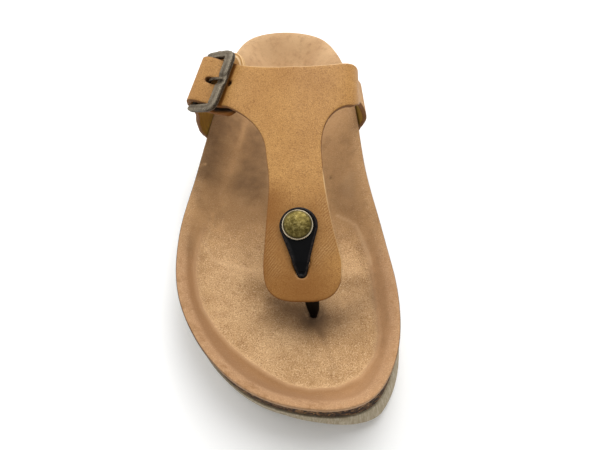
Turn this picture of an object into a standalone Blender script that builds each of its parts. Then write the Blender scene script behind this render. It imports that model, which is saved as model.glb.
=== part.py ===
"""Toe post sandal for the right foot: cork footbed, suede liner, T-strap, buckle and toe post.

Lengths are in millimetres until a mesh is made, which turns them into metres.
Frame: +Z up with the floor at 0, the toe towards -Y, the big toe's side towards +X.
A "station" is a distance from the toe tip towards the heel.
"""
import math

import bmesh
import bpy
import numpy as np
from mathutils import Matrix, Vector
from mathutils.geometry import delaunay_2d_cdt

MM = 0.001
GAP = 0.3                  # clearance between two pieces that touch

# ---- driving sizes ---------------------------------------------------------------------------
LENGTH = 262.0             # toe tip to heel
CENTRE_X = 0.7             # middle of the whole width, which becomes x = 0
OUTSOLE_THICK = 8.0
LINER_THICK = 1.7
LEATHER = 2.3              # wall of every strap
TOE_SPRING = 7.0           # height of the outsole's tip over the floor
TOE_SPRING_RUN = 48.0
HEEL_SPRING = 1.6
HEEL_SPRING_RUN = 14.0
CORK_INSET = 1.6           # how far the cork's lower edge lies inside its rim
CORK_LEAN = 2.2            # less inset towards the big toe's side, more towards the other
SOLE_INSET = 1.7           # the same for the outsole's lower edge
SOLE_LEAN = 6.4
LEAN_RANGE = (-0.25, 0.75) # part of the outline's normal over which the lean grows
HIND_INSETS = (2.0, 3.2)   # insets of the cork's and the outsole's lower edges behind the ball
HIND_STATIONS = (60.0, 125.0)      # stations between which the front's insets turn into them
OUTSOLE_STEP = 0.5         # how far the outsole's upper edge stands out from the cork
TREAD_ROUNDING = 0.9       # rounding between the outsole's side and its tread
STRAP_SKIVE = 2.4          # extra inset of the cork's lower edge under the straps
STRAP_ZONE = (142.0, 150.0, 200.0, 210.0)
SEAT_START = 4.5           # height over the rim at which a strap begins to bend to the cork's side
SEAT_EASE = 10.5           # height within which it does so
SEAT_UPRIGHT = 4.0         # about this high over the rim a strap bends and leans inwards
SEAT_ROUNDING = 3.5        # half the height that the bend takes
SEAT_SLANT = 0.8
SEAT_SOFTNESS = 1.6
SEAT_GIRTH = (48.0, 62.0)  # the sole's side only holds the strap out beyond this girth
SEAT_FREE = 80.0


def table(names, *rows):
    """Named columns from a short table, a row for each section."""
    return {name: np.array(column, float) for name, column in zip(names.split(), zip(*rows))}


# Rim of the footbed: sideways place of both edges, their height, and the bed's own section.
RIM = table(
    "station lateral medial rim_lateral rim_medial",
    (0.0, 17.0, 17.0, 25.9, 25.9),
    (3.0, -2.2, 31.2, 25.9, 25.9),
    (12.0, -18.9, 40.4, 25.3, 25.4),
    (28.0, -33.8, 47.2, 23.9, 24.2),
    (52.0, -46.0, 50.0, 22.9, 23.2),
    (85.0, -51.2, 47.6, 22.2, 23.4),
    (125.0, -48.6, 42.3, 24.5, 29.0),
    (165.0, -44.8, 39.8, 29.8, 37.0),
    (200.0, -40.6, 37.6, 34.2, 38.2),
    (232.0, -36.0, 32.3, 37.2, 37.6),
    (252.0, -27.2, 22.4, 38.0, 38.0),
    (262.0, -2.6, -2.6, 38.0, 38.0),
)
BED = table(
    "station middle band",
    (0.0, 19.0, 9.5),
    (14.0, 18.0, 10.0),
    (32.0, 16.2, 11.0),
    (55.0, 15.4, 12.5),
    (90.0, 15.2, 16.0),
    (130.0, 17.8, 24.0),
    (165.0, 20.3, 30.0),
    (200.0, 21.3, 30.0),
    (235.0, 21.8, 28.0),
    (262.0, 23.0, 26.0),
)
# Soft hills and hollows of the footbed: place, half widths and height.
RELIEF = table(
    "side station wide long height",
    (2.0, 64.0, 34.0, 5.5, 1.8),       # ridge under the bend of the toes
    (8.0, 88.0, 26.0, 15.0, -1.0),     # hollow for the ball of the foot
    (1.0, 126.0, 13.0, 17.0, 2.6),     # pad behind the ball
    (24.0, 34.0, 14.0, 14.0, -0.9),    # hollow for the big toe
    (-3.0, 222.0, 18.0, 20.0, -1.2),   # bottom of the heel cup
)

# Direction of the strap over the instep: slope against the girth, measured from its crown.
CROWN_X = 8.0
CROWN_STATION = 137.0
CROWN_HEIGHT = 82.0
BACK_SLOPE = 22.0          # degrees, the fall towards the toe at the strap's back edge
TIP_SLOPE = 31.0           # the same at the tongue's tip
STRAP_RUN = 110.0
TAPER_MEDIAL = 0.003       # the arch narrows towards the heel, as the foot's waist does
TAPER_LATERAL = 0.001
TAPER_STATION = 150.0
ARCH_MEDIAL = table(
    "girth slope",
    (0.0, 0.0), (10.0, 5.0), (21.0, 28.0), (30.0, 73.0), (40.0, 84.5), (50.0, 71.0), (60.0, 66.0),
    (70.0, 83.0), (90.0, 98.0),
)
ARCH_LATERAL = table(
    "girth slope",
    (0.0, 0.0), (14.0, 17.0), (30.0, 25.0), (50.3, 30.0), (57.0, 62.0), (62.5, 79.0), (72.0, 74.0),
    (84.0, 86.0), (130.0, 98.0),
)
CREST_SKEW = 0.35          # the outer bend runs this much outwards for each step towards the toe
CREST_START = (32.0, 48.0)
CREST_SLOPE = math.radians(29.0)

# Flat pattern of the T-strap: edges against the girth, or against the run from the back edge.
MEDIAL_FRONT = table(
    "girth run",
    (24.3, 19.0), (32.2, 13.5), (42.0, 6.4), (52.7, -1.0), (62.0, -2.6), (74.0, -1.0), (92.0, 1.0),
)
MEDIAL_BACK = table(
    "girth run",
    (0.0, 1.3), (13.0, -0.4), (24.0, -4.2), (34.0, -7.6), (44.0, -12.5), (54.0, -17.5),
    (64.0, -21.5), (76.0, -24.5), (92.0, -26.0),
)
LATERAL_BACK = table(
    "girth run",
    (0.0, 1.3), (10.0, 0.5), (22.0, -2.8), (30.0, -6.2), (37.5, -10.4),
)
TONGUE = table(
    "run left right",
    (43.0, -15.8, 8.6), (57.0, -14.1, 9.7), (77.0, -14.9, 13.0), (92.0, -15.8, 16.6),
)
TONGUE_TIP = 108.6
TONGUE_ROUNDING = 3.0                        # exponent of the tip's superellipse
FILLET_MEDIAL = ((8.7, 43.0), (8.7, 23.5), (24.3, 19.0))
FILLET_LATERAL = ((-15.8, 43.0), (-17.0, 29.0))    # its third point is on the billet's edge
LATERAL_STRAP = table(
    "girth front back",
    (39.0, 17.9, -17.9), (46.0, 15.0, -21.2), (57.0, 10.2, -24.0), (70.0, 5.5, -26.5),
    (82.0, 3.0, -28.0), (104.0, 2.5, -29.0),
)
BASE_CLEARANCE = 0.15      # more room under a strap's end, for its slanted edge
TAB_END = 29.3             # girth of the lateral strap's hidden end, nearest the crown

# Toe post, in the flat pattern; the stem's rows are in the part's own frame.
CAP_GIRTH = -1.5
CAP_RUN = 77.8
CAP_RADIUS = 6.35
CAP_HEIGHT = 2.7
CAP_RIM = 0.5
CAP_CHAMFER = 0.3
HEAD_CENTRE = (-1.0, 77.8)         # girth and run of the head's wide and narrow ends
HEAD_RADIUS = 7.6
HEAD_TIP = (0.1, 97.0)
HEAD_TIP_RADIUS = 2.1
FLANK_HOLLOW = 0.06        # how far its flanks curve in, as a part of the way to its axis
HEAD_THICK = 1.8
HEAD_DIP = 2.0             # the narrow end goes down into the slot by this much
HEAD_DIP_RUNS = (92.5, 97.5)
SLOT_RUN = 92.5            # middle of the slot's wide end
SLOT_ROOM = 0.5            # the slot is this much wider than the head over it
STEM_TOP = table(          # where the stem leaves the head, over the flat pattern
    "girth run height across along",
    (0.2, 94.2, 1.5, 2.3, 2.3),
    (0.3, 94.6, -0.4, 2.3, 2.3),
    (0.6, 95.0, -3.0, 2.6, 2.4),
)
STEM = table(
    "x station z across along",
    (10.2, 49.6, 31.0, 3.0, 2.4),
    (11.9, 48.0, 26.0, 3.1, 2.4),
    (12.9, 46.5, 21.0, 2.9, 2.3),
    (13.2, 45.9, 18.4, 2.5, 2.1),
    (13.3, 45.7, 16.6, 2.0, 2.0),
    (13.3, 45.7, 10.6, 2.0, 2.0),
)
FOOT_HOLE_RADIUS = 2.4
FOOT_HOLE_BOTTOM = 10.2
FOOT_HOLE_TOP = 30.0

# Buckle, placed on the flat pattern: p runs outwards along the billet, q towards the toe.
BUCKLE_GIRTH = 47.0
BUCKLE_RUN = -1.2
BUCKLE_SWEEP = math.radians(20.0)
FRONT_BAR_P = -9.1
PIVOT_P = 5.2
EAR_P = 8.8                # the frame's short bars run on past the pivot bar in rounded ears
BAR_Q = 14.6               # half distance between the two short bars' centre lines
FRAME_ROUNDING = 7.0       # exponent of the frame's superellipse
FRONT_HALF = 2.85          # half widths of the bars
SIDE_HALF = 1.8
PIVOT_HALF = 1.0
BAR_THICK = 2.6
PIVOT_LIFT = 0.15
FRONT_LIFT = 0.7           # the front bar stands clear of the leather that slants up under it
NOTCH = 0.9                # dip of the front bar under the prong's tip
BILLET_HALF = 12.2
BILLET_START = -15.0       # p at which the billet's front edge becomes straight
BILLET_END = 22.0
BILLET_TIP = 9.8           # length of its rounded end
BILLET_ROOM = 1.7          # strip along its edges that its inner grid leaves free
BILLET_ONTO = (-15.0, -9.5)        # p within which the billet leaves the strap's own surface
BILLET_WAVE = table(       # slope of the billet under the front bar, over the pivot bar and down
    "arc slope",
    (-12.0, 13.0), (-9.5, 13.5), (-6.0, 18.0), (-2.5, 34.0), (1.9, 34.0), (5.4, 8.0), (7.9, -25.0),
    (10.4, -44.0), (13.4, -46.0), (17.4, -44.0), (23.2, -52.0),
)
RING_INNER = 1.25          # the prong's eye round the pivot bar
RING_OUTER = 1.6
RING_HALF = 1.5
RING_WINDOW = (2.7, 2.4)   # half sizes of the window for it in the lateral strap
PRONG = table(
    "p n radius",
    (3.85, -0.45, 0.65), (2.9, -0.85, 0.7), (1.9, -0.9, 0.7), (0.3, -0.3, 0.7), (-1.8, 1.0, 0.7),
    (-4.2, 1.7, 0.7), (-8.8, 1.45, 0.65), (-10.9, 1.15, 0.5),
)
PRONG_HOLE = (-2.0, 3.9, 1.5)      # p of its centre, half sizes along p and q
SPARE_HOLES = (-11.6, 12.5)
SPARE_HOLE_RADIUS = 1.5

SIDE_STEPS = 48            # rows from toe to heel in every layer of the sole
CROSS_STEPS = 14
CROWDING = 0.55            # how far the columns of a layer are crowded towards its sides
PATTERN_CELL = 3.5         # grid of the leather meshes across the strap
WAVE_ROWS = (-5.0, 1.6)    # first row and step of the billet's grid, which follows the bars
PATTERN_STRETCH = 0.6      # the same grid is coarser along the run, where leather hardly bends
EDGE_ROOM = 0.5            # part of a cell in which no grid point comes near the outer edge
HOLE_ROOM = 0.25           # the same round a hole
HEAD_CELL = 2.6
HEAD_SPACING = 1.3
SLOT_SPACING = 1.7
FRAME_SPACING = 1.65
EYE_STEPS = 20
PRONG_STEPS = 18
CAP_STEPS = 28


# ---- small helpers ---------------------------------------------------------------------------
def smooth(x, low=0.0, high=1.0):
    u = np.clip((np.asarray(x, float) - low) / (high - low), 0.0, 1.0)
    return u * u * (3.0 - 2.0 * u)


def mix(a, b, weight):
    return a + (b - a) * weight


def curve_through(xs, ys):
    """Smooth curve through a table's rows; each row's slope comes from its neighbours."""
    slopes = np.gradient(ys, xs)

    def value(x):
        x = np.clip(x, xs[0], xs[-1])
        i = np.clip(np.searchsorted(xs, x) - 1, 0, len(xs) - 2)
        span = xs[i + 1] - xs[i]
        u = (x - xs[i]) / span
        start = (1 + 2 * u) * (1 - u) ** 2 * ys[i] + u * (1 - u) ** 2 * span * slopes[i]
        return start + u * u * (3 - 2 * u) * ys[i + 1] + u * u * (u - 1) * span * slopes[i + 1]

    return value


def column(rows, key, name):
    return curve_through(rows[key], rows[name])


# ---- footbed ---------------------------------------------------------------------------------
def turn_of(station):
    """Angle round the outline, 0 at the toe tip and pi at the heel."""
    return np.arccos(np.clip(1.0 - 2.0 * np.asarray(station, float) / LENGTH, -1.0, 1.0))


def closed_curve(lateral, medial):
    """Curve over the full turn: negative angles run along the lateral side."""
    turn = turn_of(RIM["station"])
    angles = np.concatenate([-turn[::-1][:-1], turn])
    values = np.concatenate([RIM[lateral][::-1][:-1], RIM[medial]])
    around = np.concatenate([angles[-4:-1] - 2 * math.pi, angles, angles[1:4] + 2 * math.pi])
    return curve_through(around, np.concatenate([values[-4:-1], values, values[1:4]]))


edge_x = closed_curve("lateral", "medial")
edge_z = closed_curve("rim_lateral", "rim_medial")
bed_middle = column(BED, "station", "middle")
bed_band = column(BED, "station", "band")


def outline(turn):
    """Sideways place, station and outward normal of the rim at an angle round it."""
    turn = np.asarray(turn, float)
    step = 0.01

    def at(angle):
        wrapped = (angle + math.pi) % (2 * math.pi) - math.pi
        return edge_x(wrapped), LENGTH / 2 * (1.0 - np.cos(angle))

    x, station = at(turn)
    x_next, station_next = at(turn + step)
    x_last, station_last = at(turn - step)
    dx, ds = x_next - x_last, station_next - station_last
    size = np.hypot(dx, ds)
    return x, station, ds / size, -dx / size


RIM_TURNS = np.linspace(-math.pi, math.pi, 241)[:-1]
RIM_X, RIM_STATION, _, _ = outline(RIM_TURNS)
RIM_Z = edge_z(RIM_TURNS)


def rim_distance(x, station):
    """Distance in plan from the rim, and the rim's height at its nearest point."""
    x, station = np.broadcast_arrays(np.asarray(x, float), np.asarray(station, float))
    ends = np.roll(np.arange(len(RIM_X)), -1)
    ax, ay = RIM_X, RIM_STATION
    dx, dy = ax[ends] - ax, ay[ends] - ay
    px, py = x[..., None] - ax, station[..., None] - ay
    along = np.clip((px * dx + py * dy) / (dx * dx + dy * dy), 0.0, 1.0)
    far = np.hypot(px - along * dx, py - along * dy)
    nearest = far.argmin(-1)
    share = np.take_along_axis(along, nearest[..., None], -1)[..., 0]
    return far.min(-1), mix(RIM_Z[nearest], RIM_Z[ends][nearest], share)


def bed_height(x, station):
    """Height of the liner's upper face."""
    away, rim = rim_distance(x, station)
    middle = bed_middle(station)
    for side, place, wide, long, height in zip(*RELIEF.values()):
        away_squared = ((x - side) / wide) ** 2 + ((station - place) / long) ** 2
        middle = middle + height * np.exp(-away_squared)
    rise = 1.0 - smooth(away / bed_band(station))
    return mix(middle, rim, rise)


def ground(station):
    """Height of the outsole's lower face: toe spring, a flat tread, a rounded heel."""
    toe = np.clip(1.0 - np.asarray(station, float) / TOE_SPRING_RUN, 0.0, 1.0)
    heel = np.clip((station - LENGTH + HEEL_SPRING_RUN) / HEEL_SPRING_RUN, 0.0, 1.0)
    return TOE_SPRING * toe ** 2 + HEEL_SPRING * heel ** 2


def outsole_top(station):
    return ground(station) + OUTSOLE_THICK


def inset_at(turn, mean, lean, hind):
    """Inset of a lower edge: leaning with the outline's normal in front, even behind."""
    _, station, normal_x, _ = outline(turn)
    front = mean - lean * np.clip(normal_x, *LEAN_RANGE)
    return mix(front, hind, smooth(station, *HIND_STATIONS))


def strap_zone(station):
    start, full, fade, end = STRAP_ZONE
    return smooth(station, start, full) * (1.0 - smooth(station, fade, end))


def cork_inset(turn):
    _, station, _, _ = outline(turn)
    return inset_at(turn, CORK_INSET, CORK_LEAN, HIND_INSETS[0]) + STRAP_SKIVE * strap_zone(station)


def sole_inset(turn, share):
    """Inset of the outsole's side, from its top edge (share 0) to its tread (share 1)."""
    top = inset_at(turn, CORK_INSET, CORK_LEAN, HIND_INSETS[0]) - OUTSOLE_STEP
    return mix(top, inset_at(turn, SOLE_INSET, SOLE_LEAN, HIND_INSETS[1]), share)


def loop_turns():
    """Angles of a layer's outline: toe tip, medial side, heel, lateral side."""
    half = np.linspace(0.0, math.pi, SIDE_STEPS + 1)
    return np.concatenate([half, -half[1:-1][::-1]])


def moved_in(turn, inset):
    x, station, normal_x, normal_s = outline(turn)
    return x - normal_x * inset, station - normal_s * inset


def to_metres(x, station, z):
    x, station, z = np.broadcast_arrays(x, station, z)
    place = np.stack([x - CENTRE_X, station - LENGTH / 2, z], -1)
    return (place * MM).reshape(-1, 3)


# ---- mesh makers -----------------------------------------------------------------------------
def new_object(name, vertices, faces, collection):
    """Object from a closed shell of faces, with its normals turned outwards."""
    mesh = bpy.data.meshes.new(name)
    mesh.from_pydata([tuple(v) for v in vertices], [], faces)
    shell = bmesh.new()
    shell.from_mesh(mesh)
    bmesh.ops.recalc_face_normals(shell, faces=shell.faces)
    shell.to_mesh(mesh)
    shell.free()
    piece = bpy.data.objects.new(name, mesh)
    collection.objects.link(piece)
    return piece


def sheet_faces(loop, inner, columns):
    """Faces over a closed outline: rows run from its lateral to its medial side."""
    rows = []
    for i in range(1, SIDE_STEPS):
        row = [loop[2 * SIDE_STEPS - i]]
        row += list(inner[(i - 1) * (columns - 1):i * (columns - 1)])
        rows.append(row + [loop[i]])
    faces = []
    for tip, row in ((loop[0], rows[0]), (loop[SIDE_STEPS], rows[-1])):
        faces += [(tip, a, b) for a, b in zip(row, row[1:])]
    for front, back in zip(rows, rows[1:]):
        faces += [(front[k], front[k + 1], back[k + 1], back[k]) for k in range(columns)]
    return faces


def sheet_points(turns, inset, columns, crowding):
    """Places inside an outline, crowded towards its two sides."""
    x, station = moved_in(turns, inset)
    shares = np.linspace(0.0, 1.0, columns + 1)[1:-1]
    shares = mix(shares, smooth(shares), crowding)
    points = []
    for i in range(1, SIDE_STEPS):
        j = 2 * SIDE_STEPS - i
        points.append(np.stack([mix(x[j], x[i], shares), mix(station[j], station[i], shares)], -1))
    return np.concatenate(points)


def layer(name, collection, top, bottom, rings):
    """Closed layer of the sole.

    top and bottom are (inset, height function, columns); rings are (inset, height) between them.
    """
    turns = loop_turns()
    count = len(turns)
    vertices, faces, loops = [], [], []
    for inset, height in [top[:2], *rings, bottom[:2]]:
        x, station = moved_in(turns, inset)
        loops.append(np.arange(count) + sum(len(v) for v in vertices))
        z = height(x, station, turns) if callable(height) else height
        vertices.append(to_metres(x, station, z))
    for upper, lower in zip(loops, loops[1:]):
        for j in range(count):
            k = (j + 1) % count
            faces.append((upper[j], upper[k], lower[k], lower[j]))
    for (inset, height, columns), loop in ((top, loops[0]), (bottom, loops[-1])):
        x, station = sheet_points(turns, inset, columns, CROWDING).T
        start = sum(len(v) for v in vertices)
        vertices.append(to_metres(x, station, height(x, station, None)))
        faces += sheet_faces(loop, np.arange(len(x)) + start, columns)
    return new_object(name, np.concatenate(vertices), faces, collection)


# ---- the strap's surface ---------------------------------------------------------------------
ARC_STEP = 0.25            # step in which slopes are added up


def arc_table(rows):
    """Sideways reach and drop of the arch against the girth, by adding up its slope."""
    girth = np.arange(0.0, 160.0, ARC_STEP)
    slope = np.radians(curve_through(rows["girth"], rows["slope"])(girth + ARC_STEP / 2))
    reach = np.concatenate([[0.0], np.cumsum(np.cos(slope) * ARC_STEP)[:-1]])
    drop = np.concatenate([[0.0], np.cumsum(np.sin(slope) * ARC_STEP)[:-1]])
    return girth, reach, drop


ARC_MEDIAL = arc_table(ARCH_MEDIAL)
ARC_LATERAL = arc_table(ARCH_LATERAL)
RUNS = np.arange(-60.0, 140.0, ARC_STEP)
RUN_SLOPE = np.radians(mix(BACK_SLOPE, TIP_SLOPE, np.clip(RUNS / STRAP_RUN, 0.0, 1.0)))
RUN_STATION = np.cumsum(np.cos(RUN_SLOPE) * ARC_STEP)
RUN_FALL = np.cumsum(np.sin(RUN_SLOPE) * ARC_STEP)
RUN_STATION -= np.interp(0.0, RUNS, RUN_STATION)
RUN_FALL -= np.interp(0.0, RUNS, RUN_FALL)


def wall_x(station, side, z):
    """Sideways place of the cork's side at a height."""
    turn = turn_of(station) * side
    top, low = edge_z(turn) - LINER_THICK - GAP, outsole_top(station)
    depth = np.clip((top - z) / (top - low), 0.0, 1.0)
    return edge_x(turn) - side * depth * cork_inset(turn)


def soft_ramp(rise, rounding):
    """Zero below and equal to the rise above, with a rounded bend between."""
    bend = np.clip(rise + rounding, 0.0, None) ** 2 / (4.0 * rounding)
    return np.where(rise > rounding, rise, bend)


def middle_surface(girth, run, under=0.0):
    """Middle of the leather at a girth (medial is positive) and a run from the back edge.

    A second layer lies "under" it by some distance: at the sole it takes the first one's place.
    """
    girth, run = np.broadcast_arrays(np.asarray(girth, float), np.asarray(run, float))
    medial = girth >= 0.0
    side = np.where(medial, 1.0, -1.0)
    shift = CREST_SKEW * np.clip(run - BUCKLE_RUN, -30.0, 20.0) * smooth(-girth, *CREST_START)
    out = -girth - shift
    reach = np.where(medial, np.interp(girth, *ARC_MEDIAL[:2]),
                     np.interp(out, *ARC_LATERAL[:2]) + shift * math.cos(CREST_SLOPE))
    drop = np.where(medial, np.interp(girth, *ARC_MEDIAL[::2]),
                    np.interp(out, *ARC_LATERAL[::2]) + shift * math.sin(CREST_SLOPE))
    slope = np.interp(run, RUNS, RUN_SLOPE)
    station = CROWN_STATION - np.interp(run, RUNS, RUN_STATION) + drop * np.sin(slope)
    z = CROWN_HEIGHT - np.interp(run, RUNS, RUN_FALL) - drop * np.cos(slope)
    taper = np.where(medial, TAPER_MEDIAL, TAPER_LATERAL)
    narrowing = 1.0 - taper * np.maximum(station - TAPER_STATION, 0.0)
    x = CROWN_X + side * reach * narrowing
    seat = wall_x(station, side, z) + side * (GAP + LEATHER / 2 + under)
    rim = edge_z(turn_of(station) * side)
    near_sole = smooth(rim + SEAT_START - z, 0.0, SEAT_EASE)
    free = side * mix(x, seat, near_sole)
    least = side * seat - SEAT_SLANT * soft_ramp(z - rim - SEAT_UPRIGHT, SEAT_ROUNDING)
    least -= SEAT_FREE * (1.0 - smooth(abs(girth), *SEAT_GIRTH))
    softness = SEAT_SOFTNESS * (1.0 - near_sole)
    return np.stack([side * (free + least + np.hypot(free - least, softness)) / 2, station, z], -1)


def strap_point(girth, run, height=0.0, under=0.0):
    """Point a height over the middle surface, along its outward normal."""
    girth, run, height = np.broadcast_arrays(np.asarray(girth, float), run, height)
    step = 0.6
    across = middle_surface(girth + step, run, under) - middle_surface(girth - step, run, under)
    along = middle_surface(girth, run + step, under) - middle_surface(girth, run - step, under)
    normal = np.cross(along, across)
    normal /= np.linalg.norm(normal, axis=-1, keepdims=True)
    return middle_surface(girth, run, under) + normal * height[..., None]


def pattern_to_buckle(girth, run):
    """Buckle's own p and q of a place on the flat pattern."""
    dg, dr = -np.asarray(girth) - BUCKLE_GIRTH, np.asarray(run) - BUCKLE_RUN
    c, s = math.cos(BUCKLE_SWEEP), math.sin(BUCKLE_SWEEP)
    return dg * c - dr * s, dg * s + dr * c


def buckle_to_pattern(p, q):
    c, s = math.cos(BUCKLE_SWEEP), math.sin(BUCKLE_SWEEP)
    return -(BUCKLE_GIRTH + p * c + q * s), BUCKLE_RUN - p * s + q * c


LAYER = LEATHER + GAP      # from one layer's middle to the next one's
FRONT_BAR_HEIGHT = LEATHER / 2 + GAP + BAR_THICK / 2 + FRONT_LIFT
PIVOT_HEIGHT = -LAYER + LEATHER / 2 + GAP + BAR_THICK / 2 + PIVOT_LIFT


def buckle_axes():
    """Centre of the frame, and its directions outwards along the billet, along the bars and up."""
    front = strap_point(*buckle_to_pattern(FRONT_BAR_P, 0.0), FRONT_BAR_HEIGHT)
    pivot = strap_point(*buckle_to_pattern(PIVOT_P, 0.0), PIVOT_HEIGHT)
    outward = (pivot - front) / np.linalg.norm(pivot - front)
    ends = [strap_point(*buckle_to_pattern(0.0, q)) for q in (BAR_Q, -BAR_Q)]
    bars = ends[0] - ends[1]
    bars -= outward * (bars @ outward)
    bars /= np.linalg.norm(bars)
    return pivot - PIVOT_P * outward, outward, bars, np.cross(outward, bars)


BUCKLE_CENTRE, BUCKLE_P, BUCKLE_Q, BUCKLE_N = buckle_axes()


def buckle_point(p, q, n):
    """Place in the frame's own axes; n is 0 on the plane through its bars' centres."""
    p, q, n = np.broadcast_arrays(np.asarray(p, float), q, n)
    return BUCKLE_CENTRE + np.stack([p, q, n], -1) @ np.stack([BUCKLE_P, BUCKLE_Q, BUCKLE_N])


def wave_table():
    """The billet's p and n against its own length, by adding up its slope."""
    step = 0.1
    arc = np.arange(BILLET_WAVE["arc"][0], BILLET_WAVE["arc"][-1], step)
    slope = np.radians(curve_through(BILLET_WAVE["arc"], BILLET_WAVE["slope"])(arc))
    p = np.concatenate([[0.0], np.cumsum(np.cos(slope) * step)[:-1]])
    n = np.concatenate([[0.0], np.cumsum(np.sin(slope) * step)[:-1]])
    start = strap_point(*buckle_to_pattern(arc[0], 0.0)) - BUCKLE_CENTRE
    return arc, p + start @ BUCKLE_P, n + start @ BUCKLE_N


WAVE = wave_table()


def t_strap_point(girth, run):
    """Middle of the T-strap: the strap's surface, and the billet's wave over the pivot bar."""
    p, q = pattern_to_buckle(girth, run)
    wave = buckle_point(np.interp(p, WAVE[0], WAVE[1]), q, np.interp(p, WAVE[0], WAVE[2]))
    onto = smooth(p, *BILLET_ONTO) * (np.asarray(girth) < 0.0)
    return mix(strap_point(girth, run), wave, onto[..., None])


# ---- flat patterns ---------------------------------------------------------------------------
def spaced(points, spacing):
    """Polyline with even steps, its end point left out so that stretches join into a loop."""
    points = np.asarray(points, float)
    length = np.concatenate([[0.0], np.cumsum(np.hypot(*np.diff(points, axis=0).T))])
    count = max(int(round(length[-1] / spacing)), 1)
    places = np.linspace(0.0, length[-1], count + 1)[:-1]
    return np.stack([np.interp(places, length, column) for column in points.T], -1)


def bezier(a, b, c, count=24):
    u = np.linspace(0.0, 1.0, count)[:, None]
    return (1 - u) ** 2 * np.array(a) + 2 * u * (1 - u) * np.array(b) + u * u * np.array(c)


def table_line(rows, key, name, start, end, side=1.0, count=40):
    """Points of a table's edge in the flat pattern, from one girth to another."""
    girth = np.linspace(start, end, count)
    return np.stack([side * girth, column(rows, key, name)(girth)], -1)


def superellipse(exponent, start, end, count=48):
    """Unit superellipse's cosine and sine over a range of angles."""
    angle = np.linspace(start, end, count)
    c, s = np.cos(angle), np.sin(angle)
    return np.sign(c) * abs(c) ** (2 / exponent), np.sign(s) * abs(s) ** (2 / exponent)


def base_girth(run, side, under):
    """Girth at which a strap reaches the outsole's upper face."""
    near, far = 40.0, 128.0
    for _ in range(40):
        girth = (near + far) / 2
        _, station, z = middle_surface(side * girth, run, under)
        if z > outsole_top(station) + GAP + BASE_CLEARANCE:
            near = girth
        else:
            far = girth
    return (near + far) / 2


def base_line(front, back, side, under):
    """The strap's lower edge, from its front to its back corner."""
    def corner(rows, name):
        girth = 90.0
        for _ in range(12):
            girth = base_girth(float(column(rows, "girth", name)(girth)), side, under)
        return float(column(rows, "girth", name)(girth))

    runs = np.linspace(corner(*front), corner(*back), 16)
    return np.array([(side * base_girth(run, side, under), run) for run in runs])


def tongue_outline():
    """Right edge, rounded tip and left edge of the tongue, from the medial fillet round."""
    run = np.linspace(TONGUE["run"][0], TONGUE["run"][-1], 30)
    right = np.stack([column(TONGUE, "run", "right")(run), run], -1)
    left = np.stack([column(TONGUE, "run", "left")(run), run], -1)
    middle, half = (right[-1] + left[-1]) / 2, (right[-1, 0] - left[-1, 0]) / 2
    c, s = superellipse(TONGUE_ROUNDING, 0.0, math.pi)
    tip = np.stack([middle[0] + half * c, middle[1] + (TONGUE_TIP - middle[1]) * s], -1)
    return np.concatenate([right[:-1], tip, left[::-1][1:]])


def billet_outline():
    """The billet from its front edge round its free end to its back edge."""
    c, s = superellipse(2.4, math.pi / 2, -math.pi / 2)
    p = np.concatenate([[BILLET_START], BILLET_END + BILLET_TIP * (c - 1.0)])
    q = np.concatenate([[BILLET_HALF], BILLET_HALF * s])
    return np.stack(buckle_to_pattern(p, q), -1)


def billet_hole(p, half_p, half_q, count, exponent=2.0):
    c, s = superellipse(exponent, 0.0, 2 * math.pi, count + 1)
    return np.stack(buckle_to_pattern(p + half_p * c[:-1], half_q * s[:-1]), -1)


def teardrop(start, start_radius, tip, tip_radius, spacing):
    """Loop round a large and a small circle, with slightly hollow flanks that touch both."""
    start, tip = np.array(start), np.array(tip)
    axis = tip - start
    flank = math.acos((start_radius - tip_radius) / math.hypot(*axis))
    arcs = []
    for centre, radius, first, last in ((start, start_radius, flank, 2 * math.pi - flank),
                                        (tip, tip_radius, -flank, flank)):
        angle = math.atan2(axis[1], axis[0]) + np.linspace(first, last, 40)
        arcs.append(centre + radius * np.stack([np.cos(angle), np.sin(angle)], -1))
    flanks = []
    for ahead, behind in (arcs, arcs[::-1]):
        hollow = mix((ahead[-1] + behind[0]) / 2, (start + tip) / 2, FLANK_HOLLOW)
        flanks.append(bezier(ahead[-1], hollow, behind[0])[1:-1])
    closed = np.concatenate([arcs[0], flanks[0], arcs[1], flanks[1], arcs[0][:1]])
    return spaced(closed, spacing)


def head_pattern():
    return teardrop(HEAD_CENTRE, HEAD_RADIUS, HEAD_TIP, HEAD_TIP_RADIUS, HEAD_SPACING)


def slot_pattern():
    """Hole for the stem: it follows the head's narrow end and is hidden under the wide one."""
    start, tip = np.array(HEAD_CENTRE), np.array(HEAD_TIP)
    share = (SLOT_RUN - start[1]) / (tip[1] - start[1])
    wide = mix(HEAD_RADIUS, HEAD_TIP_RADIUS, share) + SLOT_ROOM
    return teardrop(mix(start, tip, share), wide, tip, HEAD_TIP_RADIUS + SLOT_ROOM, SLOT_SPACING)


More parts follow.
